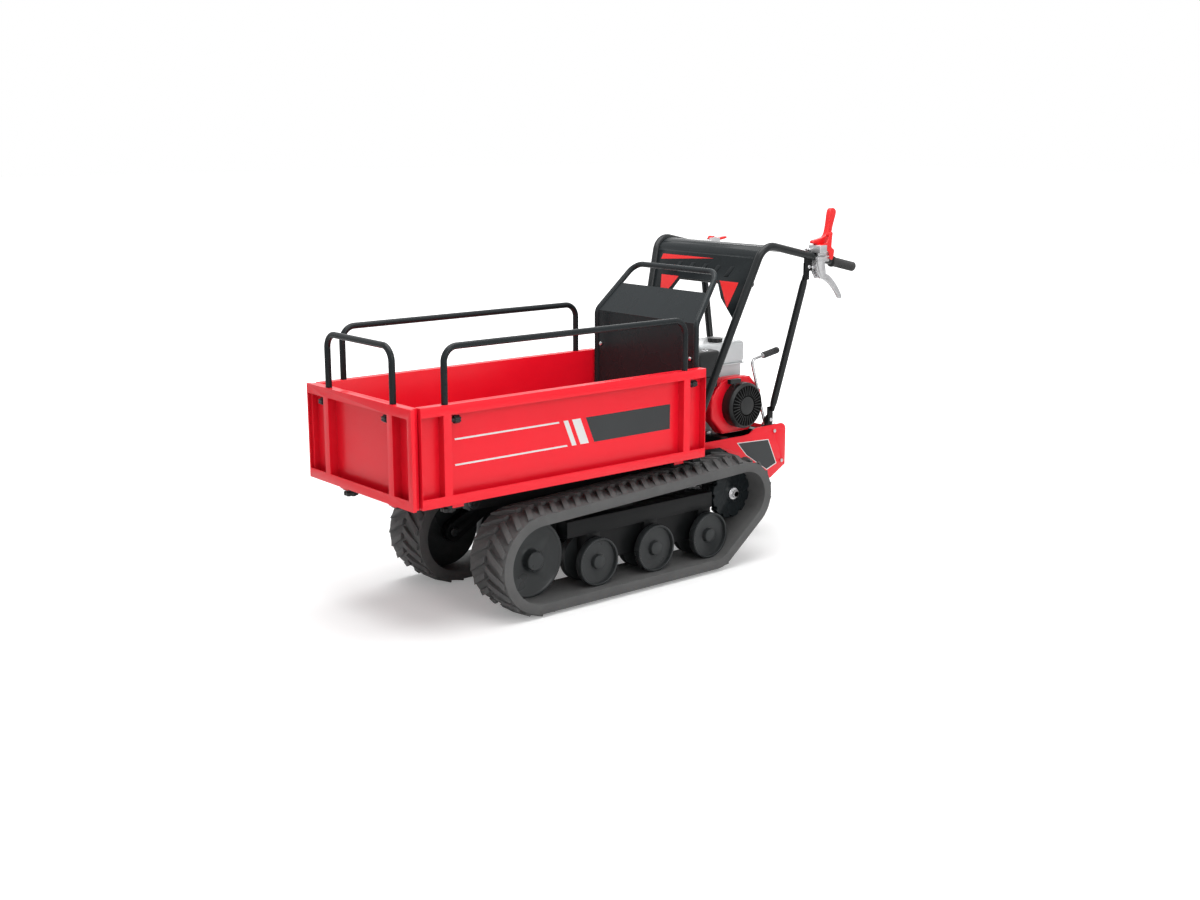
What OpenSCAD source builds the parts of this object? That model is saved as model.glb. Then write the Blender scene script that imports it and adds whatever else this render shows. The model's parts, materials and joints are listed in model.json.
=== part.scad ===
// Tracked power carrier: tipping cargo bed with sliding walls on a rubber-tracked chassis.
// Millimetres, +X forward, +Y left, +Z up, origin on the ground under the middle of the machine.

/* [Overall] */
// Length from the front wall's face to the ends of the grips
overall_l = 1920; // [1860:10:2000]

/* [Cargo bed] */
// Length from the front wall's face to the rear ends of the side walls
bed_l = 1158; // [1120:2:1180]
// Middle of the machine back to the rear ends of the side walls
bed_rear_x = -198; // [-204:1:-190]
// Width over the side walls
bed_w = 596; // [570:2:640]
// Ground to the lower edge of the walls
bed_z = 408; // [404:1:430]
// Height of the walls
wall_h = 300; // [220:5:360]
// Depth of the folded rim round each wall
tray_d = 30; // [28:1:36]
// Height of the rim's lips
rim_h = 30; // [20:1:40]
// Thickness of the wall sheet
sheet_t = 2.5; // [2:0.5:3]
// Width of the posts that hold the hoops
post_w = 28; // [26:1:36]
// Gap between the front wall and the side walls
end_gap = 3; // [2:1:6]
// Width of the front wall's left corner lip
lip_left = 22; // [18:1:30]
// Width of the front wall's right corner lip
lip_right = 6; // [4:1:16]
// Depth of the front wall's corner before it steps in
corner_d = 12; // [8:1:16]
// How far the front wall's corner steps in
corner_in = 14; // [8:1:20]
// Thickness of the floor sheet
floor_t = 3; // [2:0.5:5]
// Gap from the floor and the guides to the walls
floor_gap = 5; // [3:1:8]

/* [Sliding walls] */
// Diameter of the slide rods
rod_d = 20; // [16:1:22]
// Width of the square guide tubes
guide_w = 34; // [30:1:36]
// Slide rods below the walls' lower edge
guide_drop = 6; // [4:1:8]
// Half distance between the front wall's slide rods
front_rod_y = 140; // [132:1:148]
// Front wall's face to the side walls' front slide rods
side_rod_front = 175; // [165:1:230]
// Side walls' rear ends to their rear slide rods
side_rod_rear = 93; // [60:1:140]
// Travel of the front wall
front_reach = 150; // [80:5:180]
// Travel of each side wall
side_reach = 80; // [40:5:85]
// Length of rod left in its guide when a wall is right out
rod_hold = 28; // [20:1:40]
// Width of the tabs that carry the rods
tab_w = 40; // [30:1:50]
// Cross members of the bed frame, from the rear end of the side walls
bed_cross = 260; // [200:10:320]

/* [Hoops] */
// Tube diameter of the hoops
hoop_d = 20; // [16:1:21]
// Wall top to the middle of the hoop bar
hoop_rise = 167; // [120:1:220]
// Bend radius of the hoops
hoop_bend = 45; // [30:1:60]
// Depth of the hoop legs in their posts
hoop_depth = 150; // [120:5:200]
// Front wall's face to the side hoops' front legs
side_post_front = 125; // [90:1:150]
// Side walls' rear ends to the side hoops' rear legs
side_post_rear = 85; // [78:1:140]
// Side wall's outer face to the front hoop's legs
front_post_in = 115; // [88:1:140]

/* [Clamp knobs] */
// Diameter of the knobs' studs
stud_d = 8; // [6:1:8]
// Wall top to the hoop knobs
knob_drop = 49; // [42:1:70]
// Outside radius of the hoop knobs
knob_r = 12.5; // [10:0.5:12.5]
// Thickness of the hoop knobs' heads
knob_h = 22; // [14:1:26]
// Length of the hoop knobs' necks
knob_neck = 15; // [8:1:18]
// Outside radius of the slide knobs
slide_knob_r = 24; // [18:1:28]
// Thickness of the slide knobs' heads
slide_knob_h = 14; // [10:1:18]
// Slide knobs from the inner faces of the walls
slide_knob_in = 50; // [40:1:60]
// Length of the slide knobs' necks
slide_neck = 3; // [2:1:8]

/* [Rear guard] */
// Tube diameter of the guard
guard_d = 20; // [16:1:22]
// Side walls' rear ends to the middle of the guard tube
guard_inset = 8; // [4:1:14]
// Guard tube from the inner faces of the side walls
guard_side = 12; // [12:1:20]
// Wall top to the bend in the guard
guard_kink = 144; // [100:1:180]
// Bend to the top bar, upward
guard_rise = 159; // [120:1:190]
// Bend to the top bar, backward
guard_lean = 141; // [90:1:160]
// Bend to the top bar, inward on each side
guard_taper = 46; // [20:1:60]
// Bend radius of the guard's top corners
guard_bend = 50; // [35:1:60]
// Thickness of the guard's sheet
guard_t = 3; // [2:0.5:4]
// Bend to the sheet's upper edge, upward
guard_sheet_rise = 93; // [60:1:105]
// Guard tube to the uprights behind the guard
upright_in = 24; // [22:1:56]
// Width of the uprights behind the guard
upright_w = 22; // [18:1:26]
// Wall top to the guard's bolts
guard_bolt_up = 25; // [10:1:40]

/* [Tracks] */
// Width of a track
track_w = 180; // [160:2:184]
// Distance between the middles of the tracks
track_gauge = 466; // [462:1:480]
// Thickness of the track belt
belt_t = 32; // [26:1:34]
// Height of the tread lugs
lug_h = 12; // [8:1:13]
// Wanted distance from lug to lug
lug_pitch = 48; // [42:1:60]
// Width of a lug along the belt
lug_w = 20; // [14:1:24]
// How far a lug leans along the belt
lug_sweep = 44; // [20:1:50]
// Length of the slope at the lugs' outer ends
lug_slope = 50; // [30:1:60]
// Height left at the lugs' outer ends
lug_end = 1; // [1:0.5:6]
// Tread lug ends in from the edges of the belt
lug_in = 8; // [1:1:12]
// Thickness of the web between the rollers
web_t = 12; // [8:1:16]
// Web of the track frames below the roller axles
web_drop = 12; // [0:1:20]
// Radius of the front idler
idler_r = 125; // [118:1:130]
// Radius of the drive sprocket
sprocket_r = 88; // [80:1:92]
// Radius of the rollers
roller_r = 79; // [72:1:81]
// Place of the idler's axle along the machine
idler_x = 500; // [490:1:530]
// Place of the drive axle along the machine
sprocket_x = -378; // [-395:1:-370]
// Height of the drive axle
sprocket_z = 244; // [236:1:248]
// Place of the last roller
roller_x = -240; // [-244:1:-232]
// Distance from roller to roller
roller_pitch = 247; // [236:1:250]
// Width of each wheel of a roller
wheel_w = 26; // [18:1:28]
// Middle of the track to the middle of a roller's wheel
wheel_y = 43; // [40:1:48]
// Thickness of the idler and the sprocket
disc_w = 28; // [20:1:32]
// Diameter of the roller axles
axle_d = 24; // [18:1:28]
// Diameter of the idler's shaft
idler_shaft_d = 30; // [24:1:36]
// Diameter of the drive shafts
drive_shaft_d = 35; // [28:1:40]
// Radius of the idler's hub cap
idler_hub_r = 32; // [24:1:40]
// Idler face to the face of its hub cap
idler_hub_l = 28; // [16:1:34]
// Radius of the sprocket's hub
drive_hub_r = 24; // [20:1:30]
// Notches round the sprocket
sprocket_teeth = 12; // [8:1:14]
// Depth of the dish in a roller's face
dish_d = 9; // [5:1:12]
// Width of the roller's rim round the dish
dish_rim = 6; // [4:1:10]
// Radius of the roller's hub cap
roller_hub_r = 20; // [16:1:26]

/* [Chassis] */
// Top of the chassis rails
rail_top = 380; // [376:1:381]
// Height of the chassis rails
rail_h = 50; // [40:1:54]
// Width of the chassis rails
rail_w = 40; // [30:1:42]
// Outer face of the chassis rails from the middle
rail_out = 136; // [134:1:138]
// Rear end of the chassis rails
rail_rear = -455; // [-458:1:-450]
// Place of the bed's hinge along the machine
hinge_x = 640; // [600:1:650]
// Hinge below the top of the rails
hinge_drop = 25; // [22:1:28]
// Diameter of the hinge shaft
hinge_d = 20; // [16:1:24]
// Thickness of the bed's hinge ears
ear_t = 12; // [8:1:14]
// Width of the track beams
beam_w = 56; // [46:1:56]
// Height of the track beams
beam_h = 53; // [40:1:56]
// Lower face of the track beams above the ground
beam_low = 215; // [212:1:220]
// Middles of the two cross beams along the machine
cross_beam_x = [130, -117]; // [-200:1:300]
// Width of the cross beams
cross_beam_w = 60; // [40:1:64]

/* [Rear frame] */
// Thickness of the red side plates
cowl_t = 4; // [3:0.5:6]
// Rear face of the cowl
cowl_x = -761; // [-775:1:-750]
// Top of the cowl at its rear end
cowl_top = 430; // [426:1:430]
// Top of the cowl beside the engine
cowl_mid = 408; // [400:1:410]
// Lowest edge of the cowl
cowl_low = 232; // [225:1:250]
// Radius of the cowl's upper rear corner
cowl_corner = 26; // [15:1:35]
// Middles of the two engine beams along the machine
engine_beam_x = [-450, -645]; // [-660:1:-440]
// Width of the engine beams
engine_beam_w = 30; // [24:1:32]
// Pivot of the gear lever along the machine
gear_x = -672; // [-678:1:-668]
// Pivot height of the gear lever
gear_z = 429; // [428:1:431]
// Thickness of the ear plates
lug_plate_t = 8; // [6:1:9]

/* [Handlebar] */
// Diameter of the handlebar tubes
bar_d = 25; // [22:1:28]
// Foot of the handlebar along the machine
foot_x = -255; // [-262:1:-250]
// Foot of the handlebar from the middle
foot_y = 155; // [150:1:165]
// Thickness of the handlebar's foot plates
foot_t = 6; // [5:1:10]
// Corner of the handlebar along the machine
bar_top_x = -492; // [-520:1:-480]
// Handlebar tubes from the middle at the top
bar_top_y = 266; // [250:1:280]
// Height of the handlebar's corner
bar_top_z = 1101; // [1070:1:1120]
// Height of the grips' ends
grip_z = 996; // [980:1:1010]
// Bend radius of the handlebar
bar_bend = 60; // [45:1:80]
// Diameter of the grips
grip_d = 34; // [31:1:38]
// Length of the grips
grip_l = 125; // [110:1:140]
// Height of the cross tube behind the console
cross_tube_z = 969; // [940:1:980]
// Diameter of the cross tube
cross_tube_d = 22; // [18:1:24]
// Diameter of the rear struts
strut_d = 20; // [16:1:22]
// Lever brackets forward to the struts' upper bolts
strut_ahead = 46; // [40:1:62]
// Handlebar tube to the struts' upper bolts
strut_hang = 40; // [36:1:50]
// Struts' lower bolts along the machine
strut_foot_x = -676; // [-680:1:-674]
// Height of the struts' lower bolts
strut_foot_z = 451; // [450:1:456]
// Thickness of the struts' flat ends
strut_t = 6; // [5:1:8]
// Thickness of the console sheet
console_t = 4; // [3:0.5:5]
// Height of the console's lower edge
console_low = 962; // [940:1:1000]
// Half width of the console's lower edge
console_low_y = 95; // [70:1:120]
// Height of the console's leg tips
console_leg = 850; // [830:1:880]
// Length of the fold along the console's top
console_fold = 140; // [100:5:160]

/* [Controls] */
// Ends of the grips forward to the lever brackets
bracket_in = 198; // [190:1:204]
// Outside radius of the bracket clamps
clamp_r = 20; // [18:1:22]
// Length of the bracket clamps
clamp_l = 34; // [28:1:38]
// Steering lever pivot below the handlebar tube
lever_drop = 62; // [56:1:68]
// Clutch and throttle pivots above the handlebar tube
thumb_up = 36; // [35:1:40]
// Diameter of the clutch and throttle hubs
thumb_hub_d = 22; // [20:1:23]
// Diameter of the lever pins
pin_d = 8; // [6:1:9]
// Thickness of the steering levers
lever_t = 12; // [9:1:14]
// Height of the clutch lever above its pivot
clutch_up = 127; // [100:1:140]
// How far the clutch lever leans back
clutch_back = 52; // [40:1:60]
// Length of the throttle lever
throttle_l = 72; // [55:1:80]
// Reach of the steering levers, backward
steer_back = 114; // [95:1:120]
// Reach of the steering levers, downward
steer_down = 87; // [70:1:95]

/* [Engine] */
// Crankshaft along the machine
crank_x = -540; // [-545:1:-535]
// Crankshaft above the engine's base
crank_up = 106; // [104:1:108]
// Engine base above the ground
engine_z = 414; // [412:1:416]
// Diameter of the crankshaft
crank_d = 20; // [16:1:24]
// Outer face of the crankcase on the starter side
case_y = 70; // [66:1:74]
// Depth of the fan cover
fan_d = 42; // [38:1:44]
// Width of the fan cover
fan_w = 250; // [230:2:252]
// Height of the fan cover
fan_h = 200; // [190:2:204]
// Cut corners of the fan cover
fan_cut = 60; // [40:1:66]
// Wall of the fan cover
fan_t = 3; // [2:0.5:4]
// Radius of the starter housing
recoil_r = 82; // [74:1:84]
// Depth of the starter housing
recoil_d = 45; // [38:1:48]
// Slots round the starter housing
recoil_slots = 28; // [20:1:32]
// Length of the tank
tank_l = 230; // [200:2:234]
// Width of the tank
tank_w = 150; // [130:2:156]
// Height of the tank
tank_h = 120; // [100:2:124]
// Corner radius of the tank
tank_r = 18; // [10:1:24]
// Radius of the fuel cap
cap_r = 27; // [22:1:32]
// Radius of the engine pulley
engine_pulley_r = 48; // [42:1:50]
// Radius of the gearbox pulley
box_pulley_r = 76; // [66:1:77]
// Thickness of the drive belt
vbelt_t = 9; // [7:1:10]
// Width of the drive belt
vbelt_w = 13; // [10:1:13]
// Gearbox input shaft along the machine
input_x = -545; // [-548:1:-540]
// Height of the gearbox input shaft
input_z = 290; // [286:1:294]

/* [Fits] */
// Radial gap of running and sliding fits
run_gap = 0.05; // [0.02:0.01:0.08]
// Gap between faces that move past each other
seat_gap = 0.3; // [0.2:0.05:0.5]
// Gap between the wheels and the track belt
wheel_gap = 0.4; // [0.3:0.05:0.8]

/* [Hidden] */
$fn = 48;
eps = 1;
tube_fn = 32;
red = [0.86, 0.07, 0.11];
dark = [0.2, 0.22, 0.23];
black = [0.06, 0.06, 0.07];
steel = [0.72, 0.73, 0.74];
rubber = [0.26, 0.26, 0.26];
tank_grey = [0.74, 0.74, 0.73];

// Bed
bed_rear = bed_rear_x;
bed_front = bed_rear + bed_l;
end_x = bed_front - overall_l;
wall_top = bed_z + wall_h;
wall_in = bed_w / 2 - tray_d;
side_front = bed_front - tray_d - end_gap;
hoop_in = (tray_d - sheet_t) / 2;
hoop_y = bed_w / 2 - hoop_in;
hoop_front_x = bed_front - hoop_in;
front_post_y = bed_w / 2 - front_post_in;
post_x = [bed_front - side_post_front, bed_rear + side_post_rear];
bar_z = wall_top + hoop_rise;
leg_low = wall_top - hoop_depth;
rod_z = bed_z - guide_drop;
guide_top = rod_z + guide_w / 2;
guide_low = rod_z - guide_w / 2;
guide_out = wall_in - floor_gap;
frame_front = bed_front - tray_d - floor_gap;
rod_x = [bed_front - side_rod_front, bed_rear + side_rod_rear];
rod_end_y = guide_out - side_reach - rod_hold;
rod_end_x = frame_front - front_reach - rod_hold;
bore_rest = 3;
tab_low = rod_z - rod_d / 2 - 1;
guard_x = bed_rear + guard_inset;
guard_y = wall_in - guard_side;
upright_y = guard_y - upright_in;
kink_z = wall_top + guard_kink;
guard_a = atan(guard_lean / guard_rise);
guard_bolt_z = wall_top + guard_bolt_up;
member_out = wall_in - 2;
knob_z = wall_top - knob_drop;

// Tracks
track_y = track_gauge / 2;
track_in = track_y - track_w / 2;
belt_in = lug_h + belt_t;
idler_z = belt_in + wheel_gap + idler_r;
roller_z = belt_in + wheel_gap + roller_r;
rollers_x = [roller_x + 2 * roller_pitch, roller_x + roller_pitch, roller_x];
loop_c = [[idler_x, idler_z], [sprocket_x, sprocket_z], [roller_x, roller_z]];
loop_r = [idler_r + wheel_gap, sprocket_r + wheel_gap, roller_r + wheel_gap];
beam_top = beam_low + beam_h;
beam_front = idler_x - idler_r - 10;
beam_rear = roller_x - 30;
beam_in = track_y - beam_w / 2;

// Chassis and rear frame
rail_in = rail_out - rail_w;
rail_low = rail_top - rail_h;
hinge_z = rail_top - hinge_drop;
rail_front = hinge_x + 10;
foot_z = rail_top + 18;
ear_in = rail_out + 2;
rear_beam_x = cowl_x + cowl_t + 1;

// Handlebar
bar_low = [foot_x, foot_y, foot_z + foot_t];
bar_corner = [bar_top_x, bar_top_y, bar_top_z];
grip_a = atan((bar_top_z - grip_z) / (bar_top_x - end_x));
bar_end = [(grip_d / 2 - 6) * sin(grip_a) + end_x, bar_top_y, grip_z];
bracket_x = end_x + bracket_in;
strut_top_x = bracket_x + strut_ahead;
handle_dir = (bar_end - bar_corner) / norm(bar_end - bar_corner);
handle_a = asin(-handle_dir[2]);
bar_a = atan((foot_x - bar_top_x) / (bar_top_z - bar_low[2]));
strut_top_z = handle_z(strut_top_x) - strut_hang;
strut_top_y = bar_top_y - strut_t - 3 - seat_gap;
strut_foot_y = rail_out + seat_gap;
bracket_z = handle_z(bracket_x);

// Console sheet, which follows the bend of the tubes and runs back along the handles
console_u = [sin(bar_a), -cos(bar_a)];
console_w = [-cos(handle_a), -sin(handle_a)];
console_n = [-sin(handle_a), cos(handle_a)];
console_open = acos(console_u * console_w);
console_start = bar_bend / tan(console_open / 2);
console_mid = [bar_top_x, bar_top_z] + unit(console_u + console_w) * bar_bend / sin(console_open / 2);
console_end = [bar_top_x, bar_top_z] + console_w * (console_start + console_fold);
console_chords = 12;
function console_turn(g) = [for (k = [0 : console_chords])
  let(a = bar_a + (180 - console_open) * k / console_chords)
  console_mid + (bar_bend + g) * [cos(a), sin(a)]];

// Engine
crank_z = engine_z + crank_up;
fan_face = case_y + fan_d;
tank_low = crank_z + 92;
tank_x = crank_x + 30;
tank_y = -15;
head_a = 10;
head_h = 40;
head_y = 45;
groove_r = vbelt_t + 1;

function handle_z(x) = bar_corner[2] + (x - bar_corner[0]) * handle_dir[2] / handle_dir[0];
function bar_at(z) = bar_low + (bar_corner - bar_low) * (z - bar_low[2]) / (bar_corner[2] - bar_low[2]);
function unit(v) = v / norm(v);
function frame(ex, ez, c) = let(ey = cross(ez, ex))
  [[ex[0], ey[0], ez[0], c[0]], [ex[1], ey[1], ez[1], c[1]], [ex[2], ey[2], ez[2], c[2]], [0, 0, 0, 1]];
function right_of(e) = [e[1], -e[0]];
function tangent_n(i, c, r) = let(j = (i + 1) % len(c), d = norm(c[j] - c[i]), e = (c[j] - c[i]) / d,
  k = (r[i] - r[j]) / d) k * e + sqrt(1 - k * k) * right_of(e);
function ang(v) = atan2(v[1], v[0]);
function turn(a, b) = b < a ? b + 360 - a : b - a;

// Round bar from one point to another
module bar(p, q, d) {
  v = q - p;
  translate(p) rotate([0, acos(v[2] / norm(v)), atan2(v[1], v[0])])
    cylinder(h = norm(v), d = d, $fn = tube_fn);
}

// Round tube along a list of points with rounded corners
module bent(pts, radii, d, lap = 0) {
  n = len(pts);
  t = [for (i = [0 : n - 1]) (i == 0 || i == n - 1) ? 0
    : radii[i] * tan((180 - corner(pts, i)) / 2)];
  for (i = [0 : n - 2])
    bar(pts[i] + unit(pts[i + 1] - pts[i]) * (i == 0 ? 0 : t[i] - lap),
      pts[i + 1] - unit(pts[i + 1] - pts[i]) * (i == n - 2 ? 0 : t[i + 1] - lap), d);
  for (i = [1 : n - 2]) {
    a = unit(pts[i - 1] - pts[i]);
    b = unit(pts[i + 1] - pts[i]);
    w = 180 - corner(pts, i);
    c = pts[i] + unit(a + b) * radii[i] / cos(w / 2);
    ex = unit(pts[i] + a * t[i] - c);
    ez = unit(cross(ex, unit(pts[i] + b * t[i] - c)));
    multmatrix(frame(ex, ez, c)) rotate_extrude(angle = w) translate([radii[i], 0])
      circle(d = d, $fn = tube_fn);
  }
}
function corner(pts, i) = acos(unit(pts[i - 1] - pts[i]) * unit(pts[i + 1] - pts[i]));

// Box between two corners
module block(a, b) {
  translate(a) cube(b - a);
}

// Cylinder along Y from y0 to y1
module rod_y(x, z, y0, y1, d) {
  translate([x, y0, z]) rotate([-90, 0, 0]) cylinder(h = y1 - y0, d = d);
}

// Cylinder along X from x0 to x1
module rod_x(y, z, x0, x1, d) {
  translate([x0, y, z]) rotate([0, 90, 0]) cylinder(h = x1 - x0, d = d);
}

// Flat outline in X and Z, thick along Y from y0 to y1
module slab(y0, y1) {
  translate([0, y1, 0]) rotate([90, 0, 0]) linear_extrude(y1 - y0) children();
}

// Solid turned about an axis along Y
module turned(x, z) {
  translate([x, 0, z]) rotate([-90, 0, 0]) rotate_extrude() children();
}

module both() {
  children();
  mirror([0, 1, 0]) children();
}

// Lobed clamp knob on a stud, its seat at the origin and its head up +Z
module knob(r, h, neck, stud_in) {
  lobes = 5;
  translate([0, 0, -stud_in]) cylinder(h = stud_in + neck + eps, d = stud_d);
  translate([0, 0, seat_gap]) cylinder(h = 2, r = stud_d * 0.8);
  translate([0, 0, neck]) cylinder(h = h, r = r * 0.72);
  translate([0, 0, neck + h * 0.15]) for (i = [0 : lobes - 1]) rotate([0, 0, i * 360 / lobes])
    translate([r * 0.66, 0, 0]) cylinder(h = h * 0.85, r = r * 0.34);
}

// Hex bolt, seat at the origin, head up +Z and shank down
module bolt(d, shank) {
  cylinder(h = d * 0.6, r = d * 0.9, $fn = 6);
  translate([0, 0, -shank]) cylinder(h = shank + eps, d = d - 0.2);
}

// Folded wall from x = 0 along +X, outer face at y = 0, lower edge at z = 0
module wall_skin(l) {
  d = tray_d;
  t = sheet_t;
  rotate([90, 0, 90]) linear_extrude(l) polygon([[-d, 0], [0, 0], [0, rim_h], [-t, rim_h], [-t, t],
    [t - d, t], [t - d, wall_h - t], [-t, wall_h - t], [-t, wall_h - rim_h], [0, wall_h - rim_h],
    [0, wall_h], [-d, wall_h]]);
}

// Hoop post in a wall at x, with its bore and the stud hole on one side
module wall_post(x) {
  translate([x - post_w / 2, -tray_d + sheet_t / 2, 0])
    cube([post_w, tray_d - sheet_t / 2, wall_h]);
}
module wall_bore(x, dir) {
  translate([x, -hoop_in, wall_h - hoop_depth - 5]) cylinder(h = hoop_depth + 6, d = hoop_d + 2 * run_gap);
  translate([x, -hoop_in, wall_h - knob_drop]) rotate([0, dir * 90, 0])
    cylinder(h = post_w, d = stud_d + 2 * run_gap);
}

module side_wall() {
  l = side_front - bed_rear;
  color(red) difference() {
    union() {
      translate([bed_rear, bed_w / 2, bed_z]) {
        wall_skin(l);
        for (x = [0, l - sheet_t]) translate([x, -tray_d, 0]) cube([sheet_t, tray_d, wall_h]);
        for (x = post_x) wall_post(x - bed_rear);
      }
      for (x = rod_x) {
        block([x - tab_w / 2, wall_in, tab_low], [x + tab_w / 2, wall_in + sheet_t, bed_z + rim_h]);
        rod_y(x, rod_z, rod_end_y, wall_in + eps, rod_d);
      }
    }
    translate([bed_rear, bed_w / 2, bed_z]) for (x = post_x) wall_bore(x - bed_rear, -1);
  }
}

module side_panel_left() {
  side_wall();
}

module side_panel_right() {
  mirror([0, 1, 0]) side_wall();
}

module front_panel() {
  l = bed_w;
  t = sheet_t;
  posts = [l / 2 - front_post_y, l / 2 + front_post_y];
  color(red) difference() {
    union() {
      translate([bed_front, bed_w / 2, bed_z]) rotate([0, 0, -90]) {
        difference() {
          wall_skin(l);
          for (x = [-eps, l - corner_in]) translate([x, -tray_d - eps, -eps])
            cube([corner_in + eps, tray_d + eps - corner_d, wall_h + 2 * eps]);
        }
        for (x = [corner_in, l - corner_in - t]) translate([x, -tray_d, 0])
          cube([t, tray_d - corner_d + t, wall_h]);
        for (x = [0, l - corner_in - t]) translate([x, -corner_d, 0]) cube([corner_in + t, t, wall_h]);
        for (x = [0, l - t]) translate([x, -corner_d, 0]) cube([t, corner_d, wall_h]);
        translate([0, -t, 0]) cube([lip_left, t, wall_h]);
        translate([l - lip_right, -t, 0]) cube([lip_right, t, wall_h]);
        for (x = posts) wall_post(x);
      }
      for (s = [-1, 1]) {
        block([bed_front - tray_d, s * front_rod_y - tab_w / 2, tab_low],
          [bed_front - tray_d + t, s * front_rod_y + tab_w / 2, bed_z + rim_h]);
        rod_x(s * front_rod_y, rod_z, rod_end_x, bed_front - tray_d + eps, rod_d);
      }
    }
    translate([bed_front, bed_w / 2, bed_z]) rotate([0, 0, -90]) for (x = posts) wall_bore(x, 1);
  }
}

module bed_frame() {
  g = guide_w / 2;
  members = [bed_rear + bed_cross, bed_rear + 2 * bed_cross, bed_rear + 3.6 * bed_cross];
  color(dark) difference() {
    union() {
      both() block([guard_x - g, front_rod_y - g, guide_low], [frame_front, front_rod_y + g, guide_top]);
      block([guard_x - g, -member_out, guide_low], [guard_x + g, member_out, guide_top]);
      for (x = members) block([x - g, -front_rod_y, guide_low], [x + g, front_rod_y, guide_top]);
      both() for (x = rod_x) block([x - g, front_rod_y, guide_low], [x + g, guide_out, guide_top]);
      both() {
        block([hinge_x - 18, ear_in, hinge_z], [hinge_x + 18, ear_in + ear_t, guide_low + eps]);
        rod_y(hinge_x, hinge_z, ear_in, ear_in + ear_t, 36);
        block([guard_x - guard_t / 2 - 22, upright_y - upright_w / 2, guide_low],
          [guard_x - guard_t / 2, upright_y + upright_w / 2, guard_bolt_z + 17]);
      }
    }
    both() {
      rod_x(front_rod_y, rod_z, rod_end_x - bore_rest, frame_front + eps, rod_d + 2 * run_gap);
      for (x = rod_x) rod_y(x, rod_z, rod_end_y - bore_rest, guide_out + eps, rod_d + 2 * run_gap);
      rod_y(hinge_x, hinge_z, rail_out, ear_in + ear_t + eps, hinge_d + 2 * run_gap);
      rod_x(upright_y, guard_bolt_z, guard_x - 40, guard_x, stud_d);
      translate([rod_x[0], wall_in - slide_knob_in, guide_low - eps])
        cylinder(h = guide_w / 2, d = stud_d + 2 * run_gap);
    }
    translate([bed_front - tray_d - slide_knob_in / 2, -front_rod_y, guide_low - eps])
      cylinder(h = guide_w / 2, d = stud_d + 2 * run_gap);
  }
}

module bed_floor() {
  color(red) block([guard_x + guard_d / 2 + 2, -guide_out, guide_top],
    [frame_front, guide_out, guide_top + floor_t]);
}

module rear_guard() {
  y1 = guard_y - guard_taper;
  f = guard_sheet_rise / guard_rise;
  pts = [[guard_x, guard_y, guide_top], [guard_x, guard_y, kink_z],
    [guard_x - guard_lean, y1, kink_z + guard_rise], [guard_x - guard_lean, -y1, kink_z + guard_rise],
    [guard_x, -guard_y, kink_z], [guard_x, -guard_y, guide_top]];
  color(dark) {
    bent(pts, [0, 40, guard_bend, guard_bend, 40, 0], guard_d, 0.2);
    difference() {
      block([guard_x - guard_t / 2, -guard_y, guide_top + floor_t + 2],
        [guard_x + guard_t / 2, guard_y, kink_z]);
      both() rod_x(upright_y, guard_bolt_z, guard_x - guard_t, guard_x + guard_t, stud_d);
    }
    rod_y(guard_x, kink_z, -guard_y, guard_y, guard_t + 1);
    translate([guard_x, 0, kink_z]) rotate([0, -guard_a, 0]) rotate([90, 0, 90])
      translate([0, 0, -guard_t / 2]) linear_extrude(guard_t) polygon([[-guard_y, 0], [guard_y, 0],
        [guard_y - guard_taper * f, guard_sheet_rise / cos(guard_a)],
        [guard_taper * f - guard_y, guard_sheet_rise / cos(guard_a)]]);
  }
}

module guard_bolts() {
  color(steel) both() translate([guard_x + guard_t / 2, upright_y, guard_bolt_z]) rotate([0, 90, 0])
    bolt(stud_d, 20);
}

module side_hoop() {
  color(dark) bent([[post_x[0], hoop_y, leg_low], [post_x[0], hoop_y, bar_z],
    [post_x[1], hoop_y, bar_z], [post_x[1], hoop_y, leg_low]], [0, hoop_bend, hoop_bend, 0], hoop_d);
}

module hoop_left() {
  side_hoop();
}

module hoop_right() {
  mirror([0, 1, 0]) side_hoop();
}

module hoop_front() {
  x = hoop_front_x;
  y = front_post_y;
  color(dark) bent([[x, y, leg_low], [x, y, bar_z], [x, -y, bar_z], [x, -y, leg_low]],
    [0, hoop_bend, hoop_bend, 0], hoop_d);
}

module hoop_knob() {
  color(black) knob(knob_r, knob_h, knob_neck, post_w / 2 - hoop_d / 2 - seat_gap);
}
module side_knob(i) {
  translate([post_x[i] - post_w / 2, hoop_y, knob_z]) rotate([0, -90, 0]) hoop_knob();
}
module front_knob(s) {
  translate([hoop_front_x, s * front_post_y - post_w / 2, knob_z]) rotate([90, 0, 0]) hoop_knob();
}
module slide_knob(x, y) {
  color(black) translate([x, y, guide_low]) rotate([180, 0, 0])
    knob(slide_knob_r, slide_knob_h, slide_neck, guide_w / 2 - rod_d / 2 - seat_gap);
}

module hoop_knob_left_front() {
  side_knob(0);
}
module hoop_knob_left_rear() {
  side_knob(1);
}
module hoop_knob_right_front() {
  mirror([0, 1, 0]) side_knob(0);
}
module hoop_knob_right_rear() {
  mirror([0, 1, 0]) side_knob(1);
}
module hoop_knob_front_left() {
  front_knob(1);
}
module hoop_knob_front_right() {
  front_knob(-1);
}
module slide_knob_left() {
  slide_knob(rod_x[0], wall_in - slide_knob_in);
}
module slide_knob_right() {
  slide_knob(rod_x[0], slide_knob_in - wall_in);
}
module slide_knob_front() {
  slide_knob(bed_front - tray_d - slide_knob_in / 2, -front_rod_y);
}

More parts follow.
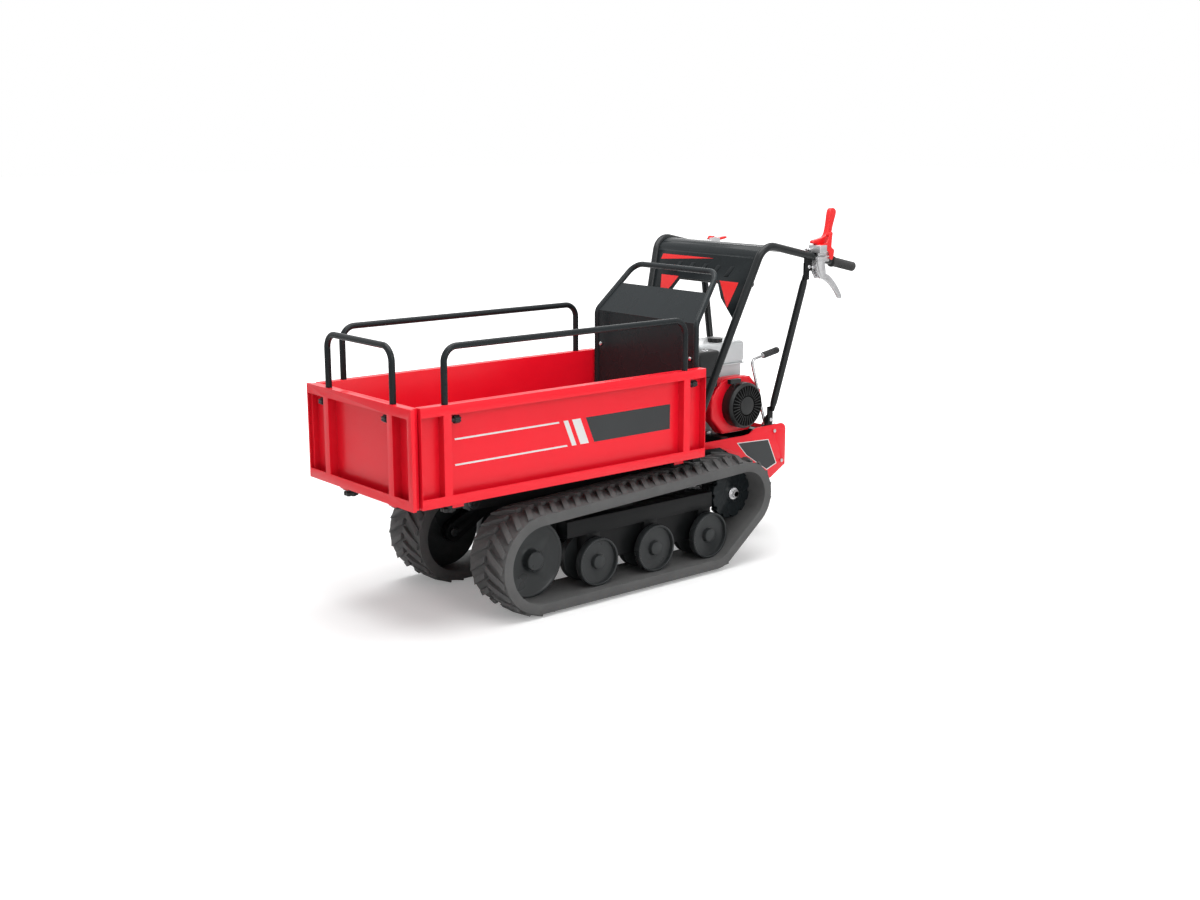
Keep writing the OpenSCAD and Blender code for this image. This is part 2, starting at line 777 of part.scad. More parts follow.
// Belt loop outline, grown outward by g, its turns in short chords outside the round
chord_a = 5;
function loop_pts(c, r, g) = [for (i = [0 : len(c) - 1])
  let(h = (i + len(c) - 1) % len(c), a = ang(tangent_n(h, c, r)), t = turn(a, ang(tangent_n(i, c, r))),
    n = ceil(t / chord_a), q = (r[i] + g) / cos(t / n / 2))
  for (k = [0.5 : n - 0.5]) c[i] + q * [cos(a + t * k / n), sin(a + t * k / n)]];
module loop_2d(c, r, g) {
  polygon(loop_pts(c, r, g));
}

// Straight and curved lengths of the outer face of the track, in turn
track_n = [for (i = [0 : 2]) tangent_n(i, loop_c, loop_r)];
track_run = [for (i = [0 : 2]) let(j = (i + 1) % 3)
  norm(loop_c[j] + (loop_r[j] + belt_t) * track_n[i] - loop_c[i] - (loop_r[i] + belt_t) * track_n[i])];
track_arc = [for (i = [0 : 2]) let(j = (i + 1) % 3)
  (loop_r[j] + belt_t) * turn(ang(track_n[i]), ang(track_n[j])) * PI / 180];
track_len = track_run[0] + track_arc[0] + track_run[1] + track_arc[1] + track_run[2] + track_arc[2];
lug_n = round(track_len / lug_pitch);
lug_y = track_w / 2 - lug_in;
lug_a = atan((lug_h - lug_end) / lug_slope);
level = -0.02;

// Place and outward angle on the track's outer face, s along it from the idler's top
function on_run(i, s) = let(d = [-track_n[i][1], track_n[i][0]])
  [loop_c[i] + (loop_r[i] + belt_t) * track_n[i] + d * s, ang(track_n[i])];
function on_arc(i, s) = let(j = (i + 1) % 3, a = ang(track_n[i]) + s / (loop_r[j] + belt_t) * 180 / PI)
  [loop_c[j] + (loop_r[j] + belt_t) * [cos(a), sin(a)], a];
function on_track(s, i = 0) = s <= track_run[i] || i > 2 ? on_run(i, s)
  : s <= track_run[i] + track_arc[i] ? on_arc(i, s - track_run[i])
  : on_track(s - track_run[i] - track_arc[i], i + 1);

// One leaning lug on half of the tread, its root sunk in the belt and its outer end sloped
module lug(half) {
  p = on_track(half[0]);
  h = half[1];
  translate([p[0][0], track_y, p[0][1]]) rotate([0, 90 - p[1], 0]) difference() {
    translate([0, 0, -6]) linear_extrude(lug_h + 6)
      polygon([[lug_w / 2, h * 4], [lug_w / 2 + lug_sweep, h * lug_y],
        [lug_sweep - lug_w / 2, h * lug_y], [-lug_w / 2, h * 4]]);
    translate([0, h * (lug_y - lug_slope), lug_h]) rotate([-h * lug_a, 0, 0])
      translate([-track_w, min(0, h) * track_w, 0]) cube([2 * track_w, track_w, 2 * lug_h]);
  }
}

module track_belt() {
  color(rubber) difference() {
    union() {
      slab(track_in, track_in + track_w) loop_2d(loop_c, loop_r, belt_t);
      for (k = [0 : lug_n - 1]) {
        lug([k * track_len / lug_n, 1]);
        lug([(k + 0.5) * track_len / lug_n, -1]);
      }
    }
    slab(track_in - eps, track_in + track_w + eps) loop_2d(loop_c, loop_r, 0);
    block([-overall_l, track_in - eps, -lug_sweep], [overall_l, track_in + track_w + eps, level]);
  }
}

module track_belt_left() {
  track_belt();
}
module track_belt_right() {
  mirror([0, 1, 0]) track_belt();
}

module track_frame() {
  color(black) difference() {
    union() {
      block([beam_rear, beam_in, beam_low], [beam_front, beam_in + beam_w, beam_top]);
      for (x = rollers_x) {
        block([x - 28, track_y - 23, roller_z], [x + 28, track_y + 23, beam_low + eps]);
        rod_y(x, roller_z, track_y - 23, track_y + 23, 56);
      }
      block([rollers_x[2], track_y - web_t / 2, roller_z - web_drop],
        [rollers_x[0], track_y + web_t / 2, beam_low + eps]);
      slab(beam_in - 33, beam_in + eps) polygon([[beam_front - 65, beam_top], [beam_front, beam_top],
        [idler_x + 15, idler_z + 30], [idler_x + 15, idler_z - 30], [idler_x - 15, idler_z - 30],
        [beam_front - 5, beam_low], [beam_front - 65, beam_low]]);
      rod_y(idler_x, idler_z, beam_in - 33, beam_in, 66);
    }
    for (x = rollers_x) rod_y(x, roller_z, track_in, track_in + track_w, axle_d + 2 * run_gap);
    rod_y(idler_x, idler_z, beam_in - 34, beam_in + 2, idler_shaft_d + 2 * run_gap);
  }
}

module track_frame_left() {
  track_frame();
}
module track_frame_right() {
  mirror([0, 1, 0]) track_frame();
}

// Roller: two dished wheels on one axle
module roller(i) {
  o = wheel_y + wheel_w / 2;
  n = wheel_y - wheel_w / 2;
  a = axle_d / 2;
  r = roller_r;
  color(dark) translate([0, track_y, 0]) turned(rollers_x[i], roller_z) polygon([[0, -o], [r, -o], [r, -n],
    [a, -n], [a, n], [r, n], [r, o], [r - dish_rim, o], [r - dish_rim - 4, o - dish_d],
    [roller_hub_r, o - dish_d], [roller_hub_r - 3, o - 3], [0, o - 3]]);
}

module roller_left_front() {
  roller(0);
}
module roller_left_mid() {
  roller(1);
}
module roller_left_rear() {
  roller(2);
}
module roller_right_front() {
  mirror([0, 1, 0]) roller(0);
}
module roller_right_mid() {
  mirror([0, 1, 0]) roller(1);
}
module roller_right_rear() {
  mirror([0, 1, 0]) roller(2);
}

module idler() {
  w = disc_w / 2;
  a = idler_shaft_d / 2;
  color(dark) translate([0, track_y, 0]) turned(idler_x, idler_z) polygon([[0, beam_in - 36 - track_y],
    [a, beam_in - 36 - track_y], [a, -w], [idler_r, -w], [idler_r, w], [idler_r - 8, w],
    [idler_r - 12, w - 4], [idler_hub_r + 6, w - 4], [idler_hub_r, w + 2],
    [idler_hub_r, w + idler_hub_l - 4], [idler_hub_r - 4, w + idler_hub_l], [0, w + idler_hub_l]]);
}

module idler_left() {
  idler();
}
module idler_right() {
  mirror([0, 1, 0]) idler();
}

module sprocket() {
  w = disc_w / 2;
  a = drive_shaft_d / 2;
  h = drive_hub_r;
  color(black) difference() {
    translate([0, track_y, 0]) union() {
      turned(sprocket_x, sprocket_z) polygon([[0, 88 - track_y], [a, 88 - track_y], [a, -w],
        [sprocket_r, -w], [sprocket_r, w], [h + 8, w], [h, w + 8], [0, w + 8]]);
      for (k = [0 : 30 : 60]) translate([sprocket_x, w + 7, sprocket_z]) rotate([-90, k, 0])
        translate([-10, -10, 0]) cube([20, 20, 16]);
    }
    for (k = [0 : sprocket_teeth - 1]) translate([sprocket_x, track_y, sprocket_z])
      rotate([0, k * 360 / sprocket_teeth, 0]) rod_y(sprocket_r, 0, -disc_w, disc_w, 17);
  }
}

module sprocket_left() {
  sprocket();
}
module sprocket_right() {
  mirror([0, 1, 0]) sprocket();
}

module chassis_frame() {
  e = engine_beam_w / 2;
  color(black) difference() {
    union() {
      both() block([rail_rear, rail_in, rail_low], [rail_front, rail_out, rail_top]);
      for (x = [hinge_x - 80, roller_x - 60]) block([x - 20, -rail_in - eps, rail_low + 5],
        [x + 20, rail_in + eps, rail_top - 5]);
      for (x = cross_beam_x) {
        block([x - cross_beam_w / 2, -beam_in, beam_low], [x + cross_beam_w / 2, beam_in, beam_top]);
        both() block([x - 25, rail_in, beam_top - eps], [x + 25, rail_out, rail_low + eps]);
      }
      rod_y(hinge_x, hinge_z, -ear_in - ear_t - 3, ear_in + ear_t + 3, hinge_d);
      for (x = engine_beam_x) block([x - e, -rail_out, rail_top - eps], [x + e, rail_out, engine_z]);
      block([rear_beam_x, -60, rail_top], [engine_beam_x[0], 60, rail_top + 10]);
      block([rear_beam_x, -60, cowl_low + 43], [rear_beam_x + 10, 60, rail_top + eps]);
      block([rear_beam_x, -rail_out, cowl_low + 43], [rear_beam_x + 30, rail_out, cowl_low + 73]);
      both() {
        block([engine_beam_x[0] - 12, 30, box_top], [engine_beam_x[0] + 12, 60, rail_top + eps]);
        block([input_x - 25, 30, box_top], [input_x, 60, rail_top + eps]);
        block([strut_foot_x - 36, rail_out - lug_plate_t, rail_top - eps],
          [engine_beam_x[1] - e + 5, rail_out, cowl_top]);
        block([strut_foot_x - 17, rail_out - lug_plate_t, rail_top],
          [strut_foot_x + 17, rail_out, strut_foot_z]);
        rod_y(strut_foot_x, strut_foot_z, rail_out - lug_plate_t, rail_out, 34);
        block([foot_x - 27, -eps, rail_top - eps], [foot_x + 27, foot_y + 23, foot_z]);
        block([rod_x[1] - 20, rail_out - 12, rail_top - eps],
          [rod_x[1] + 20, rail_out, guide_low - seat_gap]);
        block([hinge_x - 260, rail_out - 12, rail_top - eps],
          [hinge_x - 220, rail_out, guide_low - seat_gap]);
      }
      rod_y(gear_x, gear_z, rail_out - lug_plate_t - 18, rail_out - lug_plate_t + eps, 14);
    }
    both() {
      block([foot_x - 40, rail_out, 0], [foot_x + 40, foot_y + 60, rail_top + 4]);
      rod_y(strut_foot_x, strut_foot_z, rail_out - lug_plate_t - eps, rail_out + eps, stud_d);
      rod_y(cowl_bolt_x, cowl_bolt_z, rail_out - lug_plate_t - eps, rail_out + eps, stud_d);
      rod_y(rear_beam_x + 15, cowl_low + 58, rail_out - 20, rail_out + eps, stud_d);
    }
  }
}
box_top = rail_low - 2;
cowl_bolt_x = strut_foot_x - 24;
cowl_bolt_z = cowl_top - 24;

module rear_cowl() {
  c = cowl_corner;
  x0 = cowl_x;
  color(red) difference() {
    union() {
      both() slab(rail_out, rail_out + cowl_t) union() {
        polygon([[rail_rear + 110, cowl_mid], [crank_x, cowl_mid], [crank_x - 30, cowl_mid + 3],
          [crank_x - 62, cowl_top - 2], [x0 + c, cowl_top], [x0, cowl_top - c], [x0, cowl_low + 42],
          [x0 + 75, cowl_low], [rail_rear - 105, cowl_low], [rail_rear - 25, rail_top - 32],
          [rail_rear - 3, rail_top - 17], [rail_rear + 31, rail_top + 1], [rail_rear + 110, rail_top + 4]]);
        translate([x0 + c, cowl_top - c]) circle(r = c);
      }
      block([x0, -rail_out - eps, cowl_low + 42], [x0 + cowl_t, rail_out + eps, cowl_top - c]);
    }
    both() {
      rod_y(cowl_bolt_x, cowl_bolt_z, rail_out - eps, rail_out + cowl_t + eps, stud_d);
      rod_y(rear_beam_x + 15, cowl_low + 58, rail_out - eps, rail_out + cowl_t + eps, stud_d);
    }
  }
}

module gearbox_case() {
  color(dark) difference() {
    union() {
      block([input_x - 55, -75, sprocket_z - 58], [sprocket_x + 58, 75, box_top]);
      rod_y(sprocket_x, sprocket_z, -beam_in + 5, beam_in - 5, 64);
      rod_y(input_x, input_z, -82, -70, 60);
    }
    both() rod_y(sprocket_x, sprocket_z, 84, beam_in, drive_shaft_d + 2 * run_gap);
    rod_y(input_x, input_z, -90, -30, crank_d + 2 * run_gap);
  }
}

// Grooved pulley turned about its shaft, middle of the groove at y
module pulley(x, z, r, y) {
  w = vbelt_w / 2;
  turned(x, z) polygon([[0, y - w - 8], [r, y - w - 8], [r, y - w - seat_gap],
    [r - groove_r, y - w - seat_gap],
    [r - groove_r, y + w + seat_gap], [r, y + w + seat_gap], [r, y + w + 8], [0, y + w + 8]]);
}
pulley_y = -118;
pulley_c = [[crank_x, crank_z], [input_x, input_z]];
pulley_r = [engine_pulley_r - groove_r + seat_gap, box_pulley_r - groove_r + seat_gap];

module engine_pulley() {
  color(steel) {
    pulley(crank_x, crank_z, engine_pulley_r, pulley_y);
    rod_y(crank_x, crank_z, pulley_y - 20, fan_face - 8, crank_d);
    rod_y(crank_x, crank_z, case_y + 6, fan_face - 8, 150);
  }
}

module gearbox_pulley() {
  color(steel) {
    pulley(input_x, input_z, box_pulley_r, pulley_y);
    rod_y(input_x, input_z, pulley_y, -33, crank_d);
  }
}

module drive_belt() {
  color(black) difference() {
    slab(pulley_y - vbelt_w / 2, pulley_y + vbelt_w / 2) loop_2d(pulley_c, pulley_r, vbelt_t);
    slab(pulley_y - vbelt_w, pulley_y + vbelt_w) loop_2d(pulley_c, pulley_r, 0);
  }
}

module crankcase() {
  color(dark) difference() {
    union() {
      block([crank_x - 95, -95, engine_z], [crank_x + 85, case_y, tank_low - 12]);
      block([engine_beam_x[1] - 12, -85, engine_z], [engine_beam_x[0] + 12, case_y - 10, engine_z + 10]);
      translate([crank_x, 0, crank_z]) rotate([0, -head_a, 0])
        for (x = [92 : 10 : 142]) block([x - 12, -head_y, -head_h], [x - 5, head_y, head_h]);
      translate([crank_x, 0, crank_z]) rotate([0, -head_a, 0]) rod_x(0, 0, 40, 145, 66);
    }
    rod_y(crank_x, crank_z, -100, case_y + eps, crank_d + 2 * run_gap);
  }
}

module cylinder_head() {
  color(steel) translate([crank_x, 0, crank_z]) rotate([0, -head_a, 0]) {
    block([145, -head_y, -head_h], [165, head_y, head_h]);
    for (z = [-36 : 12 : 36]) block([160, -head_y, z - 3], [185, head_y, z + 3]);
    rod_x(0, 0, 164, 215, 16);
  }
}

module carburettor() {
  color(steel) translate([crank_x, 0, crank_z]) rotate([0, -head_a, 0]) {
    block([148, head_y, -25], [180, head_y + 34, 25]);
    rod_y(164, -36, head_y + 5, head_y + 29, 26);
  }
  color(steel) block([crank_x + 138, head_y + 8, crank_z + 40], [crank_x + 172, head_y + 34, air_low]);
}
air_low = crank_z + 74;

module air_cleaner() {
  y0 = 64;
  x0 = crank_x + 96;
  color(black) {
    block([x0, y0, air_low + 34], [x0 + 108, y0 + 54, air_low + 130]);
    block([x0 + 4, y0, air_low], [x0 + 104, y0 + 48, air_low + 35]);
    block([x0 + 14, y0 + 12, air_low + 129], [x0 + 94, y0 + 42, air_low + 136]);
  }
}

module muffler() {
  color(dark) {
    block([crank_x + 150, -110, crank_z + 82], [crank_x + 238, 20, crank_z + 180]);
    translate([crank_x, 0, crank_z]) rotate([0, -head_a, 0]) translate([180, -20, head_h - 1])
      cylinder(h = 30, d = 30);
    rod_x(-60, crank_z + 150, crank_x + 237, crank_x + 256, 22);
  }
}

module fan_cover() {
  w = fan_w / 2;
  c = fan_cut;
  cx = crank_x + 8;
  z0 = engine_z + 5;
  color(red) difference() {
    slab(case_y, fan_face) fan_2d(cx, z0, 0);
    slab(case_y - eps, fan_face - fan_t) fan_2d(cx, z0, fan_t);
    rod_y(crank_x, crank_z, case_y, fan_face + eps, 2 * recoil_r - 24);
  }
}
module fan_2d(cx, z0, t) {
  w = fan_w / 2 - t;
  c = fan_cut;
  polygon([[cx + w, z0 + c], [cx + w, z0 + fan_h - c], [cx + w - c + t, z0 + fan_h - t],
    [cx - w + c - t, z0 + fan_h - t], [cx - w, z0 + fan_h - c], [cx - w, z0 + c],
    [cx - w + c - t, z0 + t], [cx + w - c + t, z0 + t]]);
}

module recoil_housing() {
  r = recoil_r;
  color(black) difference() {
    turned(crank_x, crank_z) polygon([[r - 14, fan_face], [r, fan_face], [r, fan_face + recoil_d - 8],
      [r - 8, fan_face + recoil_d], [0, fan_face + recoil_d], [0, fan_face + recoil_d - 5],
      [r - 12, fan_face + recoil_d - 5], [r - 5, fan_face + recoil_d - 12], [r - 5, fan_face + 5],
      [r - 14, fan_face + 5]]);
    for (k = [0 : recoil_slots - 1]) translate([crank_x, fan_face + recoil_d - 7, crank_z])
      rotate([0, (k + 0.5) * 360 / recoil_slots, 0]) translate([r * 0.5, 0, -1.6]) cube([r * 0.3, 10, 3.2]);
    translate([rope_x, rope_y, crank_z]) cylinder(h = r + eps, d = rope_d + 2 * run_gap);
  }
}
rope_x = crank_x + 45;
rope_y = fan_face + 23;
rope_d = 6;
rope_top = crank_z + sqrt(recoil_r * recoil_r - 45 * 45);

module recoil_handle() {
  color(black) {
    block([rope_x - 26, rope_y - 9, rope_top + 14], [rope_x + 26, rope_y + 9, rope_top + 30]);
    translate([rope_x, rope_y, rope_top + 8]) cylinder(h = 8, d = 14);
    translate([rope_x, rope_y, crank_z - 25]) cylinder(h = rope_top - crank_z + 40, d = rope_d);
  }
}

module fuel_tank() {
  l = tank_l / 2;
  w = tank_w / 2;
  r = tank_r;
  color(tank_grey) {
    hull() for (x = [-1, 1], y = [-1, 1], z = [0, 1])
      translate([tank_x + x * (l - r), tank_y + y * (w - r), tank_low + r + z * (tank_h - 2 * r)])
        sphere(r = r, $fn = 32);
    block([tank_x - l + r, tank_y - w - 4, tank_low + 36], [tank_x + l - r, tank_y + w + 4, tank_low + 40]);
    for (x = [-85, 55]) block([tank_x + x - 15, tank_y - 40, tank_low - 12],
      [tank_x + x + 15, tank_y + 40, tank_low + r]);
    translate([cap_x, cap_y, tank_low + tank_h - 4]) cylinder(h = 10, r = cap_r - 8);
  }
}
cap_x = tank_x + 6;
cap_y = tank_y + 40;

module fuel_cap() {
  z0 = tank_low + tank_h + 6 + seat_gap;
  color(black) {
    translate([cap_x, cap_y, z0]) cylinder(h = 14, r = cap_r - 2);
    for (k = [0 : 30 : 330]) rotate_about([cap_x, cap_y, z0 + 1], k) translate([cap_r - 4, 0, 0])
      cylinder(h = 12, r = 4, $fn = 24);
  }
}
module rotate_about(p, a) {
  translate(p) rotate([0, 0, a]) children();
}

module gear_lever() {
  y = rail_out - lug_plate_t - 8;
  top = [gear_x + 78, y, gear_z + 246];
  back = [gear_x - 45, y, gear_z + 268];
  color(black) difference() {
    union() {
      rod_y(gear_x, gear_z, y - 7, y + 7.5, 26);
      bent([[gear_x, y, gear_z] + unit([78, 0, 246]) * 11, top, back], [0, 25, 0], 11, 0.2);
      bar(back + unit(top - back) * 70, back - unit(top - back) * 12, 24);
    }
    rod_y(gear_x, gear_z, y - 10, y + 10, 14 + 2 * run_gap);
  }
}

module handlebar() {
  color(black) {
    both() {
      bent([bar_low, bar_corner, bar_end - handle_dir * 6], [0, bar_bend, 0], bar_d, 0.2);
      block([foot_x - 25, foot_y - 20, foot_z], [foot_x + 25, foot_y + 21, foot_z + foot_t + 2]);
      difference() {
        block([strut_top_x - 18, bar_top_y - 3, strut_top_z - 15], [strut_top_x + 18, bar_top_y + 3,
          handle_z(strut_top_x)]);
        rod_y(strut_top_x, strut_top_z, 0, bar_top_y + 10, stud_d);
      }
    }
    translate([-cos(bar_a), 0, -sin(bar_a)] * (cross_tube_d / 2 + console_t / 2 + seat_gap))
      rod_y(bar_at(cross_tube_z)[0], cross_tube_z, -bar_at(cross_tube_z)[1],
      bar_at(cross_tube_z)[1], cross_tube_d);
  }
}

// Half width between the handlebar tubes at height z, less a gap
function between_y(z) = bar_at(z)[1] - bar_d / 2 / cos(9) - seat_gap;
function slope(z) = (z - bar_top_z) / cos(bar_a);

module console_panel() {
  t = console_t / 2;
  y1 = between_y(bar_top_z - console_start * cos(bar_a));
  half = [[0, eps - console_start], [y1, eps - console_start],
    [between_y(console_leg), slope(console_leg)], [between_y(console_leg) - 6, slope(console_leg)],
    [console_low_y + 35, slope(console_low - 52)], [console_low_y, slope(console_low)],
    [0, slope(console_low)]];
  color(dark) {
    translate([bar_top_x, 0, bar_top_z]) rotate([0, -bar_a, 0]) rotate([90, 0, 90])
      translate([0, 0, -t]) linear_extrude(2 * t) {
        polygon(half);
        mirror([1, 0]) polygon(half);
      }
    slab(-y1, y1) polygon(concat(console_turn(t),
      [console_end + t * console_n, console_end - t * console_n],
      [for (k = [console_chords : -1 : 0]) console_turn(-t)[k]]));
  }
}

module handle_struts() {
  y0 = strut_foot_y;
  y1 = strut_top_y;
  color(black) both() difference() {
    union() {
      bar([strut_foot_x - 4, y0 + 8, strut_foot_z + 34],
        [strut_top_x + 3, y1 + 2, strut_top_z - 32], strut_d);
      block([strut_foot_x - 13, y0, strut_foot_z - 14],
        [strut_foot_x + 13, y0 + strut_t, strut_foot_z + 48]);
      block([strut_top_x - 13, y1, strut_top_z - 46], [strut_top_x + 13, y1 + strut_t, strut_top_z + 14]);
    }
    rod_y(strut_foot_x, strut_foot_z, y0 - eps, y0 + strut_t + 20, stud_d);
    rod_y(strut_top_x, strut_top_z, y1 - 10, y1 + strut_t + eps, stud_d);
  }
}

module chassis_bolts() {
  color(steel) both() {
    translate([strut_foot_x, strut_foot_y + strut_t, strut_foot_z]) rotate([-90, 0, 0]) bolt(stud_d, 12);
    translate([strut_top_x, bar_top_y + 3, strut_top_z]) rotate([-90, 0, 0]) bolt(stud_d, 11);
    translate([cowl_bolt_x, rail_out + cowl_t, cowl_bolt_z]) rotate([-90, 0, 0]) bolt(stud_d, 10);
    translate([rear_beam_x + 15, rail_out + cowl_t, cowl_low + 58]) rotate([-90, 0, 0]) bolt(stud_d, 20);
  }
}

module handle_grips() {
  r = grip_d / 2;
  h = bar_d / 2 + 0.1;
  ridge = 10;
  color(black) both() multmatrix(frame([0, 1, 0], handle_dir, bar_end - handle_dir * grip_l))
    rotate_extrude() polygon(concat([[h, 0], [r, 0], [r + 3, 2], [r + 3, 7], [r, 9]],
      [for (k = [2 : 10]) each [[r, k * ridge], [r - 1.5, k * ridge + 2], [r - 1.5, k * ridge + 6],
        [r, k * ridge + 8]]],
      [[r, grip_l - 6], [r - 6, grip_l], [0, grip_l], [0, grip_l - 5], [h, grip_l - 5]]));
}

// Places children on the left handlebar tube, +Z along the tube to the rear
module at_bracket() {
  translate([bracket_x, bar_top_y, bracket_z]) children();
}

module lever_bracket() {
  fork = lever_t / 2 + seat_gap;
  z0 = -lever_drop;
  difference() {
    union() {
      rotate([0, -90 - handle_a, 0]) cylinder(h = clamp_l, r = clamp_r, center = true);
      for (s = [-1, 1]) slab(s * (fork + 4) - 4, s * (fork + 4) + 4)
        polygon([[22, 4], [-24, 0], [-34, z0 + 8], [-32, z0 - 10], [-4, z0 - 12], [14, z0 + 18]]);
      for (s = [-1, 1]) rod_y(-14, z0, s * (fork + 4) - 4, s * (fork + 4) + 4, 24);
      slab(-clamp_r, -10) polygon([[24, 0], [22, thumb_up + 8], [-24, thumb_up + 8], [-28, 0]]);
      rod_y(0, thumb_up, -clamp_r, -10, 24);
    }
    rotate([0, -90 - handle_a, 0]) cylinder(h = 3 * clamp_l, d = bar_d + 0.2, center = true);
  }
  rod_y(-14, z0, -fork - 5, fork + 5, pin_d);
  rod_y(0, thumb_up, -11, 24, pin_d);
}

module lever_brackets() {
  color(steel) both() at_bracket() lever_bracket();
}

module steering_lever() {
  t = lever_t / 2;
  b = steer_back;
  d = steer_down;
  color(steel) at_bracket() translate([-14, 0, -lever_drop]) difference() {
    union() {
      rod_y(0, 0, -t, t, 20);
      slab(-t, t) polygon([[4, 9], [-b * 0.33, 3], [-b * 0.66, -d * 0.3], [-b * 0.9, -d * 0.68],
        [-b - 5, -d], [-b + 7, -d - 3], [-b * 0.78, -d * 0.74], [-b * 0.56, -d * 0.45],
        [-b * 0.3, -d * 0.22], [0, -9]]);
      rod_y(-b, -d, -t - 1, t + 1, 14);
    }
    rod_y(0, 0, -lever_t, lever_t, pin_d + 2 * run_gap);
  }
}

module steering_lever_left() {
  steering_lever();
}
module steering_lever_right() {
  mirror([0, 1, 0]) steering_lever();
}

module clutch_lever() {
  b = -clutch_back;
  u = clutch_up;
  color(red) at_bracket() translate([0, 0, thumb_up]) difference() {
    union() {
      rod_y(0, 0, -9.5, 28, thumb_hub_d);
      slab(-9.5, 9) polygon([[26, 18], [32, 8], [24, -4], [0, -10], [-10, -4], [-38, 24],
        [-46, u * 0.32], [b - 9, u - 8], [b - 3, u], [b + 8, u - 2], [b + 11, u - 12],
        [-28, u * 0.45], [-20, 28], [0, 20]]);
      slab(23, 28) polygon([[0, 12], [-52, 2], [-74, -26], [-72, -42], [-58, -44], [-44, -24], [0, -12]]);
    }
    rod_y(0, 0, -20, 40, pin_d + 2 * run_gap);
  }
}

module throttle_lever() {
  l = throttle_l;
  color(red) mirror([0, 1, 0]) at_bracket() translate([0, 0, thumb_up]) difference() {
    union() {
      rod_y(0, 0, -9.5, 12, thumb_hub_d);
      slab(-9.5, 9) polygon([[0, 11], [-l + 4, 22], [-l, 16], [-l + 2, 8], [-20, -6], [0, -11]]);
    }
    rod_y(0, 0, -20, 40, pin_d + 2 * run_gap);
  }
}

chassis_frame();
rear_cowl();
track_frame_left();
track_frame_right();
track_belt_left();
track_belt_right();
gearbox_case();
crankcase();
cylinder_head();
carburettor();
fan_cover();
recoil_housing();
fuel_tank();
air_cleaner();
muffler();
drive_belt();
handlebar();
console_panel();
handle_struts();
handle_grips();
lever_brackets();
chassis_bolts();
bed_frame();
bed_floor();
rear_guard();
guard_bolts();
side_panel_left();
side_panel_right();
front_panel();
hoop_left();
hoop_right();
hoop_front();
hoop_knob_left_front();
hoop_knob_left_rear();
hoop_knob_right_front();
hoop_knob_right_rear();
hoop_knob_front_left();
hoop_knob_front_right();
slide_knob_left();
slide_knob_right();
slide_knob_front();
sprocket_left();
sprocket_right();
idler_left();
idler_right();
roller_left_front();
roller_left_mid();
roller_left_rear();
roller_right_front();
roller_right_mid();
roller_right_rear();
engine_pulley();
gearbox_pulley();
gear_lever();
clutch_lever();
steering_lever_left();
steering_lever_right();
throttle_lever();
recoil_handle();
fuel_cap();
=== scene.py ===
import bpy
import bmesh
import json
import math
from mathutils import Matrix, Vector


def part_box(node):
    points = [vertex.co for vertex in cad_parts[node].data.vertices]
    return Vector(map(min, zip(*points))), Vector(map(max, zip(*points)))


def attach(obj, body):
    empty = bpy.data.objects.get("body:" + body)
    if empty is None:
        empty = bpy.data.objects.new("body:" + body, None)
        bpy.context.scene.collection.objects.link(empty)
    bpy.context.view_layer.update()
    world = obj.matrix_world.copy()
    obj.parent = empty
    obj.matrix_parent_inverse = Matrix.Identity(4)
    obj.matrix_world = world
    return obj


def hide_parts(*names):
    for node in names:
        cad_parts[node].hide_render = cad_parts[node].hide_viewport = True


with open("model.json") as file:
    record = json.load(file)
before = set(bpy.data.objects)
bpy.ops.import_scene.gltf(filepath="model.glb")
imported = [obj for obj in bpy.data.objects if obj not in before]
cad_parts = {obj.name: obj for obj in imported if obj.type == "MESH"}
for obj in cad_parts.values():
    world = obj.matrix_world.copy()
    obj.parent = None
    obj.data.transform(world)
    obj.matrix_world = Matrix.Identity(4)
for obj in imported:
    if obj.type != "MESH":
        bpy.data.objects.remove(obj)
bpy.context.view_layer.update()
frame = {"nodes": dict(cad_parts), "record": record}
nodes = frame["nodes"]
bodyOf = {n: b for b, ns in frame["record"]["behaviour"]["bodies"].items() for n in ns}
slotOf = {s["node"]: s["material_slot"] for s in frame["record"]["subparts"]}
bothSides = (("left", 1), ("right", -1))
mm = 0.001
scene = bpy.context.scene
scene.view_settings.view_transform = "Standard"
print("frame loaded:", len(nodes), "nodes")

# camera, solved from the edges of the bed
cameraSpot = {"place": (3.2048, 3.8144, 1.4989), "look": (-0.627, -0.749, -0.2138),
              "lens": 44.66, "sensor": 36}
camData = bpy.data.cameras.new("photoCamera")
camData.lens = cameraSpot["lens"]
camData.sensor_width = cameraSpot["sensor"]
camera = bpy.data.objects.new("photoCamera", camData)
scene.collection.objects.link(camera)
camera.location = cameraSpot["place"]
camera.rotation_mode = "QUATERNION"
camera.rotation_quaternion = Vector(cameraSpot["look"]).to_track_quat("-Z", "Y")
scene.camera = camera

